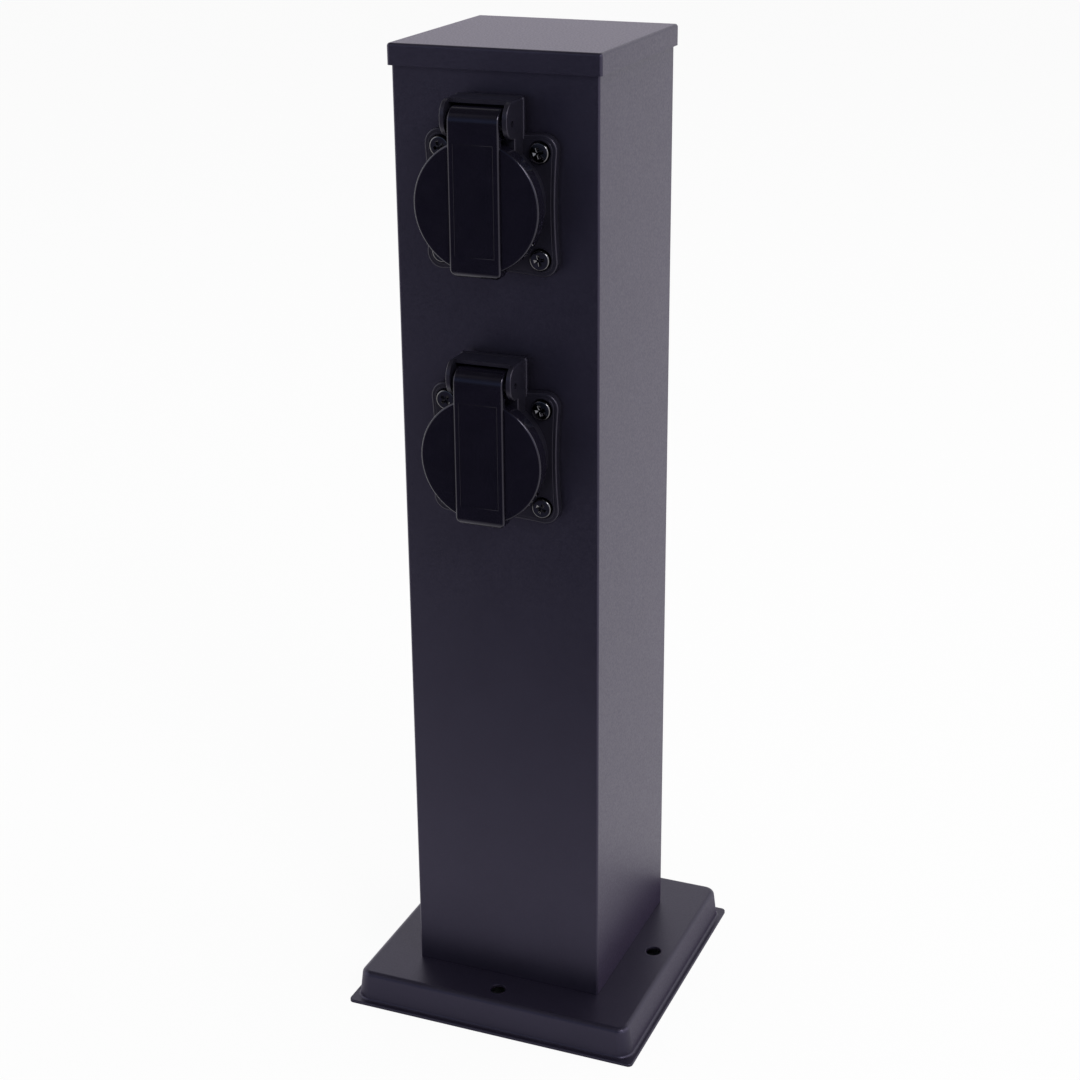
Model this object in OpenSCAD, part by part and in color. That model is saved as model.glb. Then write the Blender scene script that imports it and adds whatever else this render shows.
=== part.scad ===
// Garden socket post: a square steel post on a drawn foot, with two sockets under hinged lids.
// Millimetres. X runs to the right, Y to the back, Z up. The middle of the foot's underside is zero.

/* [Post] */
// Overall height, from the ground to the top of the cap
total_h = 400; // [330:5:900]
// Outer width of the square tube
post_w = 81; // [78:1:120]
// Wall of the square tube
post_wall = 1.5; // [1:0.1:2.5]
// Outer corner radius of the square tube
post_r = 1; // [0.8:0.1:4]

/* [Cap] */
// Sheet of the cap
cap_t = 1; // [0.8:0.1:2]
// Depth of the cap, from its top to the lower edge of its skirt
cap_depth = 8; // [7:0.5:14]
// Gap between the cap's skirt and the tube
cap_gap = 0.3; // [0.2:0.05:0.6]
// Inner bend radius of the cap's upper edge
cap_bend = 0.2; // [0.1:0.05:0.3]
// Outer corner radius of the cap
cap_r = 1.3; // [1.3:0.1:2.6]
// Distance of each cap screw from the middle of the back
cap_screw_x = 20; // [10:1:28]
// Thread of the cap screws
cap_screw_d = 2.9; // [2.2:0.1:3.5]
// Length of the cap screws under the head
cap_screw_len = 8; // [6:0.5:12]

/* [Foot] */
// Reach of the foot beyond each face of the post
foot_reach = 23.5; // [23:0.5:60]
// Height of the foot
foot_h = 14; // [12:0.5:30]
// Sheet of the foot
foot_t = 1.25; // [1:0.25:2.5]
// Width of the flat lip round the foot
lip_w = 1.5; // [1:0.25:5]
// Corner radius of the lip
lip_r = 2; // [1:0.5:8]
// Corner radius of the foot's upper edge
foot_corner_r = 5; // [5:0.5:14]
// Inner bend radius of the foot's upper edge
foot_bend = 1; // [0.5:0.25:3]
// Slope of the foot's wall, from upright
foot_slope = 7; // [0:0.5:12]
// Radius of the hollow between the foot's wall and its lip
hollow_r = 0.75; // [0.5:0.25:2.5]
// Distance of the anchor holes from the faces of the post
anchor_off = 10.5; // [8:0.5:11]
// Diameter of the anchor holes
anchor_d = 6.5; // [4:0.5:7]
// Thickness of the frame inside the post's lower end
frame_t = 3; // [2:0.5:5]
// Gap between the frame and the tube
frame_gap = 0.05; // [0.02:0.01:0.2]
// Diameter of the opening in the frame
frame_opening = 36; // [32:1:40]
// Distance of each foot screw from the tube's inner face
foot_screw_in = 10.5; // [8:0.5:11]
// Thread of the foot screws
foot_screw_d = 5; // [4:0.5:6]
// Length of the foot screws under the head
foot_screw_len = 8; // [7:0.5:12]
// Diameter of the cable hole in the foot
inlet_d = 22; // [18:0.5:26]
// Bore of the rubber grommet
cable_d = 9; // [6:0.5:12]
// Width of the grommet's rims beyond the hole
rim_w = 3; // [2:0.25:4]
// Thickness of the grommet's rims
rim_t = 2.5; // [1.5:0.25:3]

/* [Sockets] */
// Distance of the upper socket's middle below the top of the cap
socket_drop = 54; // [48:1:110]
// Distance between the middles of the two sockets
socket_pitch = 96; // [72:1:120]
// Width of the square flange
flange_w = 52; // [51.5:0.5:60]
// Thickness of the flange
flange_t = 3.5; // [3:0.25:5]
// Corner radius of the flange
flange_r = 6; // [4:0.5:8]
// Hollow in the middle of each side of the flange
waist = 0.9; // [0.2:0.1:1.2]
// Drop of the flange's middle below the well's
flange_drop = 0.8; // [0:0.1:1.5]
// Thickness of the gasket behind the flange
gasket_t = 1.25; // [1:0.25:3]
// Inset of the gasket's edge from the flange's
gasket_in = 0.3; // [0.1:0.1:0.6]
// Distance of the flange screws from the flange's edges
screw_in = 6.5; // [6.2:0.1:6.7]
// Thread of the flange screws
screw_d = 4; // [3:0.5:4]
// Length of the flange screws under the head
screw_len = 12; // [11:1:25]
// Diameter of the flange screws' heads
screw_head_d = 7.6; // [6.8:0.2:8]
// Height of the flange screws' heads
screw_head_h = 2.6; // [2:0.2:3]
// Depth of the counterbores under the heads
seat_depth = 1.2; // [0.6:0.2:2]
// Gap between a head and its counterbore
seat_gap = 0.5; // [0.3:0.1:0.7]
// Size of the flange nuts across the flats
nut_w = 7; // [6:0.5:8]
// Thickness of the flange nuts
nut_t = 3.2; // [2.4:0.2:4]
// Inner diameter of the plug well
well_d = 39.5; // [39:0.1:40]
// Depth of the plug well
well_depth = 17.5; // [16.5:0.5:19]
// Wall of the well behind the flange
well_wall = 1.6; // [1.2:0.1:2]
// Thickness of the well's floor
floor_t = 4; // [3.5:0.25:5]
// Rise of the collar in front of the flange
collar_rise = 9.75; // [9.25:0.25:10.75]
// Wall of the collar
collar_wall = 2.25; // [1.75:0.05:2.5]
// Gap between the well and the cut-out in the post
cutout_gap = 0.65; // [0.3:0.05:1]
// Distance between the two plug pins
pin_pitch = 19; // [18.5:0.1:19.5]
// Diameter of the pin holes in the floor
pin_hole_d = 5.5; // [5:0.1:6]
// Width of the guide ribs at the sides of the well
rib_w = 5.2; // [4:0.2:6]
// Height of the guide ribs
rib_h = 1.6; // [1:0.1:2]
// Drop of the guide ribs' ends below the collar's front
rib_short = 3; // [2:0.5:8]

/* [Lids] */
// Gap between the collar and the lid's skirt
lid_gap = 1; // [0.5:0.05:1.2]
// Wall of the lid's skirt
skirt_wall = 1.4; // [1:0.05:1.8]
// Lap of the skirt over the collar
skirt_lap = 2; // [1:0.25:3]
// Thickness of the lid's front
lid_t = 2.4; // [1.5:0.1:3]
// Rounding of the lid's front edge
lid_edge_r = 0.7; // [0.4:0.1:1.4]
// Thickness of the seal inside the lid
seal_t = 1.4; // [1:0.1:2]
// Width of the seal
seal_w = 2.8; // [2:0.1:2.8]
// Gap between the closed seal and the collar
seal_gap = 0.1; // [0.05:0.05:0.2]
// Width of the strap
strap_w = 20; // [18:0.5:24]
// Rise of the strap in front of the lid
strap_rise = 1.5; // [1:0.1:2.5]
// Depth of the strap's root in the lid
strap_root = 1; // [0.5:0.1:1.2]
// Reach of the lift tab below the lid's edge
tab_reach = 1.4; // [1:0.1:4]
// Height of the lift tab's block
tab_h = 6; // [4:0.5:8]
// Radius of the strap's lower corners
strap_r = 3; // [1:0.25:5]
// Width of the recessed panel on the strap
panel_w = 15.3; // [10:0.1:16]
// Distance of the panel's lower end from the end of the strap
panel_low = 8.1; // [6:0.1:16]
// Height of the panel
panel_h = 40.3; // [20:0.1:42]
// Depth of the panel
panel_deep = 0.3; // [0.1:0.05:0.6]

/* [Hinges] */
// Height of the hinge above the lid's edge
hinge_up = 5.6; // [5.4:0.1:9]
// Radius of the lid's knuckle
knuckle_r = 5.5; // [5.2:0.1:5.8]
// Diameter of the hinge pin
pin_d = 2.4; // [2.4:0.1:3.4]
// Running gap round the pin in the knuckle
pin_gap = 0.08; // [0.03:0.01:0.1]
// Gap round the pin in the ears
ear_fit = 0.02; // [0.01:0.01:0.04]
// Recess of the pin's ends in the ears
pin_short = 0.8; // [0.1:0.1:0.8]
// Gap between the strap and each ear
ear_gap = 1.3; // [1:0.1:2]
// Thickness of the ears
ear_t = 1.8; // [1.4:0.1:3]
// Radius of the ears
ear_r = 6.1; // [5.8:0.1:6.6]
// Set-back of the ears' round from the hinge
ear_back = 1.3; // [0.8:0.1:2]
// Rise of the ears' round above the hinge
ear_up = 2; // [1.8:0.1:2.6]
// Gap between the hub and the ear
hub_gap = 0.2; // [0.1:0.05:0.4]
// Radius of the hub beside the knuckle
hub_r = 3; // [2.6:0.1:3.4]
// Thickness of the hood
hood_t = 1.6; // [1.2:0.1:1.8]
// Set-back of the hood's front edge from the hinge
hood_back = 0.4; // [0:0.1:1.5]
// Lap of the tower behind the flange's front
tower_lap = 1.5; // [1:0.25:2.5]
// Thickness of the tower's back wall
tower_wall = 2; // [1.5:0.1:2.4]
// Thickness of the ledge under the spring's fixed leg
ledge_t = 4; // [3:0.25:4.2]
// Gap between the tower's sides and the lid's skirt
column_gap = 0.75; // [0.4:0.05:4]
// Reach of the tower's root below the flange's upper edge
tower_root = 8; // [5:0.5:9]
// Wire of the closing spring
spring_wire = 0.8; // [0.6:0.05:0.9]
// Mean diameter of the spring's coil
coil_d = 5; // [4.8:0.1:5.2]
// Pitch of the coil
coil_pitch = 1.4; // [1.35:0.05:1.7]
// Width of the spring's slot in the knuckle
slot_w = 10; // [9.4:0.2:12]
// Radius of the spring's slot
slot_r = 3.9; // [3.7:0.1:4.1]
// Gap under the spring's fixed leg and at its end
leg_gap = 0.1; // [0.05:0.05:0.3]
// Length of the spring's moving leg
leg_len = 4.2; // [3.6:0.1:4.4]

/* [Contacts] */
// Depth of the contact carrier behind the well
carrier_depth = 17; // [15:0.5:20]
// Set-back of the carrier's edge from the well's
carrier_in = 0.5; // [0.2:0.1:1]
// Wall of the pin tubes
tube_wall = 0.6; // [0.4:0.05:0.8]
// Bore of the pin tubes
tube_bore = 5; // [4.9:0.05:5.2]
// Gap round a contact in the carrier
contact_gap = 0.1; // [0.05:0.05:0.2]
// Width of the wire clamps
clamp_w = 6.6; // [5.6:0.2:7]
// Depth of the wire clamps
clamp_h = 8; // [7.6:0.2:10]
// Sinking of the wire clamps in the carrier
clamp_sink = 1; // [0.5:0.25:2]
// Bore of the wire clamps
clamp_bore = 3.2; // [3:0.1:3.6]
// Thread of the clamp screws
clamp_screw_d = 3; // [2.5:0.1:3.2]
// Width of the earth spring
earth_w = 5; // [4:0.2:5.4]
// Sheet of the earth spring
earth_t = 0.8; // [0.5:0.05:0.9]
// Bow of the earth spring into the well
earth_bow = 1.4; // [0.8:0.1:1.8]
// Distance of the earth spring's ends from the collar's front
earth_short = 4; // [3:0.25:7]
// Thread of the carrier screws
carrier_screw_d = 3; // [2.5:0.1:3.5]
// Distance of the carrier screws from the well's middle
carrier_screw_at = 17; // [16:0.25:17.2]

/* [Terminals] */
// Height of the terminal block above the frame
block_up = 28; // [20:1:40]
// Height of the terminal block
block_h = 18; // [16:0.5:24]
// Depth of the terminal block
block_d = 16; // [14:0.5:18]
// Distance between the poles
pole_pitch = 12; // [11:0.25:13]
// Side wall of the block beyond the outer poles
block_side = 8; // [6:0.5:9]
// Thread of the sleeves' and the block's screws
pole_screw_d = 2.5; // [2:0.1:2.8]
// Outer diameter of the brass sleeves
sleeve_d = 6.4; // [6:0.1:6.8]
// Bore of the brass sleeves
sleeve_bore = 3.8; // [3.4:0.1:4]
// Sheet of the terminal bracket
bracket_t = 1.5; // [1:0.1:2.5]
// Length of the bracket's foot
bracket_foot = 13; // [12:0.25:14]
// Gap between the bracket's foot and the tube
bracket_gap = 1; // [0.5:0.25:2]
// Rise of the bracket above the terminal block
bracket_over = 6; // [2:0.5:12]
// Thread of the bracket screws
bracket_screw_d = 4; // [3:0.5:5]
// Distance of each bracket screw from the middle
bracket_screw_x = 14; // [10:0.5:16]
// Distance of the earth stud from the tube's inner face
stud_in = 10.5; // [9:0.25:11]
// Thread of the earth stud
stud_d = 5; // [4:0.5:6]
// Length of the earth stud above the frame
stud_len = 12; // [10:0.5:20]
// Sheet of the earth lug
lug_t = 1; // [0.8:0.1:1.5]
// Diameter of the lug's ring
lug_d = 10; // [9:0.5:11]
// Length of the lug's barrel
barrel_len = 7; // [5:0.5:9]

/* [Wires] */
// Outer diameter of the insulated wires
wire_d = 2.8; // [2.4:0.1:3]
// Diameter of the bared copper
core_d = 1.4; // [1:0.1:1.8]
// Length of copper in each brass sleeve
bared = 5; // [4:0.25:6]
// Distance of the insulation from the clamps
bare_gap = 0.6; // [0.3:0.1:1.5]

/* [Fits] */
// Gap round a thread in its tapped hole
thread_gap = 0.05; // [0.02:0.01:0.1]
// Gap round a thread or a part in its plain hole
hole_gap = 0.15; // [0.1:0.05:0.25]

/* [Hidden] */
$fn = 48;
// overlap of joined solids and over-reach of cuts
join = 0.5;
arc_steps = 6;
// post and cap
post_half = post_w / 2;
post_in = post_half - post_wall;
least_r = 0.2;
post_in_r = max(post_r - post_wall, least_r);
tube_top = total_h - cap_t;
cap_half = post_half + cap_gap + cap_t;
cap_corner_r = max(cap_r, cap_bend + cap_t + least_r / 2);
cap_low = total_h - cap_depth;
cap_screw_z = cap_low + (cap_depth - cap_t) / 2;
// foot
foot_half = post_half + foot_reach;
top_r = foot_bend + foot_t;
wall_flare = (top_r + hollow_r + (foot_h - top_r - foot_t - hollow_r) * sin(foot_slope)) / cos(foot_slope);
frame_half = post_in - frame_gap;
frame_top = foot_h + frame_t;
foot_screw_at = post_in - foot_screw_in;
anchor_at = post_half + anchor_off;
// screws: head sizes and driver slots as shares of the thread
head_share = 1.8;
nut_share = 1.6;
nut_height_share = 0.8;
height_share = 0.6;
slot_share = 0.24;
// socket, in its own frame: X right, Y up, Z out of the post
upper_z = total_h - socket_drop;
lower_z = upper_z - socket_pitch;
flange_half = flange_w / 2;
flange_front = gasket_t + flange_t;
screw_at = flange_half - screw_in;
seat_z = flange_front - seat_depth;
seat_r = screw_head_d / 2 + seat_gap;
well_r = well_d / 2;
collar_r = well_r + collar_wall;
collar_front = flange_front + collar_rise;
well_floor = collar_front - well_depth;
well_back = well_floor - floor_t;
barrel_r = well_r + well_wall;
cutout_r = max(barrel_r, collar_r - collar_wall + well_wall) + cutout_gap;
gasket_r = cutout_r + hole_gap;
pin_x = pin_pitch / 2;
// lid
lid_bore_r = collar_r + lid_gap;
lid_r = lid_bore_r + skirt_wall;
skirt_back = collar_front - skirt_lap;
lid_inside = collar_front + seal_gap + seal_t;
lid_front = lid_inside + lid_t;
strap_front = lid_front + strap_rise;
strap_back = lid_front - strap_root;
strap_low = -lid_r - tab_reach;
seal_r = lid_bore_r - lid_gap / 2;
// hinge
hinge_y = lid_r + hinge_up;
hinge_z = strap_front - knuckle_r;
strap_half = strap_w / 2;
ear_in = strap_half + ear_gap;
ear_out = ear_in + ear_t;
ear_y = hinge_y + ear_up;
ear_z = hinge_z - ear_back;
tower_top = ear_y + ear_r;
tower_back = flange_front - tower_lap;
tower_low = flange_half - tower_root;
column_t = skirt_back - column_gap - tower_back;
coil_r = coil_d / 2;
ledge_top = hinge_y - coil_r - spring_wire / 2 - leg_gap;
hub_half = ear_in - hub_gap;
// the spring's coil starts under the pin and ends in front of it
coil_from = 270;
coil_end = 25;
coil_rounds = 5;
coil_to = coil_end + 360 * coil_rounds;
coil_steps = 12;
coil_len = coil_pitch * (coil_to - coil_from) / 360;
slot_from = 65;
slot_to = 290;
// contacts
carrier_r = barrel_r - carrier_in;
carrier_back = well_back - carrier_depth;
clamp_front = carrier_back + clamp_sink;
clamp_back = clamp_front - clamp_h;
wire_z = (clamp_front - clamp_sink + clamp_back) / 2;
tube_r = tube_bore / 2 + tube_wall;
earth_y = well_r + earth_t / 2 - contact_gap;
earth_slot = earth_t + 4 * contact_gap;
earth_back = well_back - contact_gap - earth_t;
carrier_screw_angle = 40;
// terminals
block_low = frame_top + block_up;
block_top = block_low + block_h;
block_half = pole_pitch + block_side;
plate_y = post_in - bracket_gap - bracket_foot - bracket_t;
block_y = plate_y - block_d / 2;
sleeve_r = sleeve_d / 2;
pole_x = [-pole_pitch, 0, pole_pitch];
pole_screw_z = [block_low + block_h / 4, block_top - block_h / 4];
access_r = pole_screw_d * head_share / 2 + hole_gap;
stud_x = stud_in - post_in;
lug_nut_t = nut_height_share * stud_d;
// wires
tube_sides = 8;
wire_y = -post_half - wire_z;
wire_rings = 26;
clamp_grip = clamp_w / 2 - bare_gap / 2;

// Shapes shared by several pieces

function arc(x, y, r, from, to, steps = arc_steps) = [for (k = [0:steps])
    [x + r * cos(from + (to - from) * k / steps), y + r * sin(from + (to - from) * k / steps)]];

module round_square(half, r) {
    square([2 * half, 2 * (half - r)], center = true);
    square([2 * (half - r), 2 * half], center = true);
    for (x = [r - half, half - r], y = [r - half, half - r])
        translate([x, y])
            circle(r = r);
}

// a section carried round a square with rounded corners, its x measured outward from a corner's middle
module carry_round(half, r) {
    for (k = [0:3])
        rotate([0, 0, 90 * k])
            translate([half - r, half - r, 0]) {
                rotate_extrude(angle = 90)
                    children();
                rotate([90, 0, 0])
                    linear_extrude(2 * (half - r))
                        children();
            }
}

// the section of a bent sheet that ends flat inside and goes down at its edge
function bent_edge(r, top, low, t, bend) = concat(
    [[0, top]], arc(r - bend - t, top - bend - t, bend + t, 90, 0), [[r, low], [r - t, low]],
    arc(r - bend - t, top - bend - t, bend, 0, 90), [[0, top - t]]);

function unit(v) = v / norm(v);
function heading(path, i) = unit(path[min(i + 1, len(path) - 1)] - path[max(i - 1, 0)]);

// a round tube along a path, with a radius for each point
module tube_along(path, radii, across, sides) {
    last = len(path) - 1;
    points = [for (i = [0:last]) let (t = heading(path, i), u = unit(cross(t, across)), v = cross(t, u))
        each [for (k = [0:sides - 1]) let (a = 360 * k / sides) path[i] + radii[i] * (u * cos(a) + v * sin(a))]];
    walls = [for (i = [0:last - 1], k = [0:sides - 1]) let (a = i * sides + k, b = i * sides + (k + 1) % sides)
        each [[a, a + sides, b], [b, a + sides, b + sides]]];
    start = [for (k = [1:sides - 2]) [0, k, k + 1]];
    end = [for (k = [1:sides - 2]) [last * sides, last * sides + k + 1, last * sides + k]];
    polyhedron(points, concat(walls, start, end), convexity = 10);
}

// a side view, x outward and y up, drawn out across the socket
module across_x(w) {
    rotate([0, -90, 0])
        linear_extrude(w, center = true)
            children();
}

module at_socket(z) {
    translate([0, -post_half, z])
        rotate([90, 0, 0])
            children();
}

module at_corners(off) {
    for (x = [-off, off], y = [-off, off])
        translate([x, y, 0])
            children();
}

module at_flange_screws() {
    translate([0, -flange_drop, 0])
        at_corners(screw_at)
            children();
}

// a screw along Z, its head above zero and its thread below
module slotted_screw(d, len, head_r, head_h) {
    difference() {
        union() {
            cylinder(r = head_r, h = head_h);
            translate([0, 0, -len])
                cylinder(d = d, h = len + join);
        }
        translate([-head_r - join, -slot_share * d / 2, head_h / 2])
            cube([2 * head_r + 2 * join, slot_share * d, head_h]);
    }
}

module plain_screw(d, len) {
    slotted_screw(d, len, head_share * d / 2, height_share * d);
}

module nut(d, w, t) {
    difference() {
        cylinder(d = w / cos(30), h = t, $fn = 6);
        translate([0, 0, -join])
            cylinder(d = d + 2 * thread_gap, h = t + 2 * join);
    }
}

// Post

module post_tube() {
    color([0.07, 0.07, 0.08])
        difference() {
            translate([0, 0, foot_h])
                linear_extrude(tube_top - foot_h)
                    difference() {
                        round_square(post_half, post_r);
                        round_square(post_in, post_in_r);
                    }
            for (z = [upper_z, lower_z])
                at_socket(z)
                    translate([0, 0, -post_wall - join]) {
                        cylinder(r = cutout_r, h = post_wall + 2 * join);
                        at_flange_screws()
                            cylinder(d = screw_d + 2 * hole_gap, h = post_wall + 2 * join);
                    }
            for (x = [-cap_screw_x, cap_screw_x])
                translate([x, post_in - join, cap_screw_z])
                    rotate([-90, 0, 0])
                        cylinder(d = cap_screw_d + 2 * thread_gap, h = post_wall + 2 * join);
        }
}

module top_cap() {
    flat = cap_half - cap_corner_r;
    color([0.07, 0.07, 0.08])
        difference() {
            union() {
                carry_round(cap_half, cap_corner_r)
                    polygon(bent_edge(cap_corner_r, total_h, cap_low, cap_t, cap_bend));
                translate([-flat, -flat, total_h - cap_t])
                    cube([2 * flat, 2 * flat, cap_t]);
            }
            for (x = [-cap_screw_x, cap_screw_x])
                translate([x, cap_half - cap_t - join, cap_screw_z])
                    rotate([-90, 0, 0])
                        cylinder(d = cap_screw_d + 2 * hole_gap, h = cap_t + 2 * join);
        }
}

module cap_screws() {
    color([0.1, 0.1, 0.1])
        for (x = [-cap_screw_x, cap_screw_x])
            translate([x, cap_half, cap_screw_z])
                rotate([-90, 0, 0])
                    plain_screw(cap_screw_d, cap_screw_len);
}

// Foot

module base_plate() {
    edge = foot_corner_r - top_r;
    outer = edge + wall_flare;
    flat = foot_half - lip_w - outer;
    section = concat(
        [[0, foot_h]], arc(edge, foot_h - top_r, top_r, 90, foot_slope),
        arc(outer, foot_t + hollow_r, hollow_r, 180 + foot_slope, 270),
        arc(outer, foot_t + hollow_r, hollow_r + foot_t, 270, 180 + foot_slope),
        arc(edge, foot_h - top_r, foot_bend, foot_slope, 90), [[0, foot_h - foot_t]]);
    color([0.07, 0.07, 0.08])
        difference() {
            union() {
                carry_round(flat + foot_corner_r, foot_corner_r)
                    polygon(section);
                translate([-flat, -flat, foot_h - foot_t])
                    cube([2 * flat, 2 * flat, foot_t]);
                linear_extrude(foot_t)
                    difference() {
                        round_square(foot_half, lip_r);
                        round_square(flat + outer, outer);
                    }
            }
            translate([0, 0, foot_h - foot_t - join]) {
                cylinder(d = inlet_d, h = foot_t + 2 * join);
                for (a = [0:90:270])
                    rotate([0, 0, a])
                        translate([anchor_at, 0, 0])
                            cylinder(d = anchor_d, h = foot_t + 2 * join);
                at_corners(foot_screw_at)
                    cylinder(d = foot_screw_d + 2 * hole_gap, h = foot_t + 2 * join);
            }
        }
}

module foot_frame() {
    color([0.6, 0.61, 0.63])
        translate([0, 0, foot_h])
            difference() {
                linear_extrude(frame_t)
                    round_square(frame_half, post_in_r);
                translate([0, 0, -join]) {
                    cylinder(d = frame_opening, h = frame_t + 2 * join);
                    at_corners(foot_screw_at)
                        cylinder(d = foot_screw_d + 2 * thread_gap, h = frame_t + 2 * join);
                    for (x = [-bracket_screw_x, bracket_screw_x])
                        translate([x, plate_y + bracket_t + bracket_foot / 2, 0])
                            cylinder(d = bracket_screw_d + 2 * thread_gap, h = frame_t + 2 * join);
                    translate([stud_x, 0, 0])
                        cylinder(d = stud_d + 2 * thread_gap, h = frame_t + 2 * join);
                }
            }
}

module foot_screws() {
    color([0.7, 0.71, 0.73])
        at_corners(foot_screw_at)
            translate([0, 0, foot_h - foot_t])
                rotate([180, 0, 0])
                    plain_screw(foot_screw_d, foot_screw_len);
}

module cable_grommet() {
    seat = inlet_d / 2 - hole_gap;
    rim = inlet_d / 2 + rim_w;
    low = foot_h - foot_t;
    color([0.05, 0.05, 0.05])
        rotate_extrude()
            polygon([[cable_d / 2, low - rim_t], [rim, low - rim_t], [rim, low], [seat, low], [seat, foot_h],
                [rim, foot_h], [rim, foot_h + rim_t], [cable_d / 2, foot_h + rim_t]]);
}

// Terminals inside the post

module terminal_bracket() {
    color([0.66, 0.67, 0.69])
        difference() {
            union() {
                translate([-block_half, plate_y, frame_top])
                    cube([2 * block_half, bracket_t, block_top + bracket_over - frame_top]);
                translate([-block_half, plate_y, frame_top])
                    cube([2 * block_half, bracket_t + bracket_foot, bracket_t]);
            }
            for (x = [-bracket_screw_x, bracket_screw_x])
                translate([x, plate_y + bracket_t + bracket_foot / 2, frame_top - join])
                    cylinder(d = bracket_screw_d + 2 * hole_gap, h = bracket_t + 2 * join);
            for (x = [-pole_pitch / 2, pole_pitch / 2])
                translate([x, plate_y - join, (block_low + block_top) / 2])
                    rotate([-90, 0, 0])
                        cylinder(d = pole_screw_d + 2 * thread_gap, h = bracket_t + 2 * join);
        }
}

module bracket_screws() {
    color([0.7, 0.71, 0.73])
        for (x = [-bracket_screw_x, bracket_screw_x])
            translate([x, plate_y + bracket_t + bracket_foot / 2, frame_top + bracket_t])
                plain_screw(bracket_screw_d, bracket_t + frame_t);
}

module terminal_block() {
    color([0.85, 0.85, 0.82])
        difference() {
            translate([-block_half, plate_y - block_d, block_low])
                cube([2 * block_half, block_d, block_h]);
            for (x = pole_x) {
                translate([x, block_y, block_low - join])
                    cylinder(r = sleeve_r + thread_gap, h = block_h + 2 * join);
                for (z = pole_screw_z)
                    translate([x, block_y, z])
                        rotate([90, 0, 0])
                            cylinder(r = access_r, h = block_d);
            }
            for (x = [-pole_pitch / 2, pole_pitch / 2])
                translate([x, plate_y - block_d - join, (block_low + block_top) / 2])
                    rotate([-90, 0, 0])
                        cylinder(d = pole_screw_d + 2 * hole_gap, h = block_d + 2 * join);
        }
}

module terminal_sleeves() {
    color([0.8, 0.65, 0.3])
        for (x = pole_x)
            difference() {
                translate([x, block_y, block_low])
                    cylinder(r = sleeve_r, h = block_h);
                translate([x, block_y, block_low - join])
                    cylinder(d = sleeve_bore, h = block_h + 2 * join);
                for (z = pole_screw_z)
                    translate([x, block_y, z])
                        rotate([90, 0, 0])
                            cylinder(d = pole_screw_d + 2 * thread_gap, h = sleeve_d);
            }
}

module sleeve_screws() {
    reach = sleeve_r - core_d / 2;
    head_h = height_share * pole_screw_d;
    color([0.7, 0.71, 0.73])
        for (x = pole_x, z = pole_screw_z)
            translate([x, block_y - sleeve_r - bare_gap, z])
                rotate([90, 0, 0])
                    slotted_screw(pole_screw_d, reach, access_r - hole_gap, head_h);
}

module block_screws() {
    color([0.7, 0.71, 0.73])
        for (x = [-pole_pitch / 2, pole_pitch / 2])
            translate([x, plate_y - block_d, (block_low + block_top) / 2])
                rotate([90, 0, 0])
                    plain_screw(pole_screw_d, block_d + 2 * bracket_t);
}

module earth_stud() {
    color([0.7, 0.71, 0.73])
        translate([stud_x, 0, foot_h])
            cylinder(d = stud_d, h = frame_t + stud_len);
}

module earth_lug() {
    color([0.75, 0.75, 0.72])
        translate([stud_x, 0, frame_top])
            difference() {
                union() {
                    cylinder(d = lug_d, h = lug_t);
                    translate([0, -wire_d / 2 - lug_t, 0])
                        cube([lug_d / 2 + join, wire_d + 2 * lug_t, lug_t]);
                    translate([lug_d / 2, 0, wire_d / 2 + lug_t])
                        rotate([0, 90, 0])
                            cylinder(r = wire_d / 2 + lug_t, h = barrel_len);
                }
                translate([0, 0, -join])
                    cylinder(d = stud_d + 2 * hole_gap, h = lug_t + 2 * join);
                translate([lug_d / 2 - join, 0, wire_d / 2 + lug_t])
                    rotate([0, 90, 0])
                        cylinder(r = wire_d / 2 + thread_gap, h = barrel_len + 2 * join);
            }
}

module earth_nut() {
    color([0.7, 0.71, 0.73])
        translate([stud_x, 0, frame_top + lug_t])
            nut(stud_d, nut_share * stud_d, lug_nut_t);
}

// Wires

// a path that leaves one clamp upward and enters the next one upward
function rise(from, to) = [for (k = [0:wire_rings]) let (t = k / wire_rings, s = (1 - cos(180 * t)) / 2)
    [from[0] + (to[0] - from[0]) * s, from[1] + (to[1] - from[1]) * s, from[2] + (to[2] - from[2]) * t]];

module wire(from, to, grip) {
    up = [0, 0, 1];
    middle = rise(from + bare_gap * up, to - bare_gap * up);
    last = len(middle) - 1;
    path = concat([from - grip * up, middle[0]], middle, [middle[last], to + clamp_grip * up]);
    core = core_d / 2;
    radii = concat([core, core], [for (p = middle) wire_d / 2], [core, core]);
    tube_along(path, radii, [0, 1, 0], tube_sides);
}

module feed(pole, x) {
    wire([pole_x[pole], block_y, block_top], [x, wire_y, lower_z - clamp_w / 2], bared);
}

module link(x) {
    wire([x, wire_y, lower_z + clamp_w / 2], [x, wire_y, upper_z - clamp_w / 2], clamp_grip);
}

module feed_live() {
    color([0.35, 0.2, 0.1])
        feed(0, -pin_x);
}

module feed_earth() {
    color([0.5, 0.6, 0.1])
        feed(1, 0);
}

module feed_neutral() {
    color([0.1, 0.25, 0.6])
        feed(2, pin_x);
}

module link_live() {
    color([0.35, 0.2, 0.1])
        link(-pin_x);
}

module link_earth() {
    color([0.5, 0.6, 0.1])
        link(0);
}

module link_neutral() {
    color([0.1, 0.25, 0.6])
        link(pin_x);
}

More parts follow.
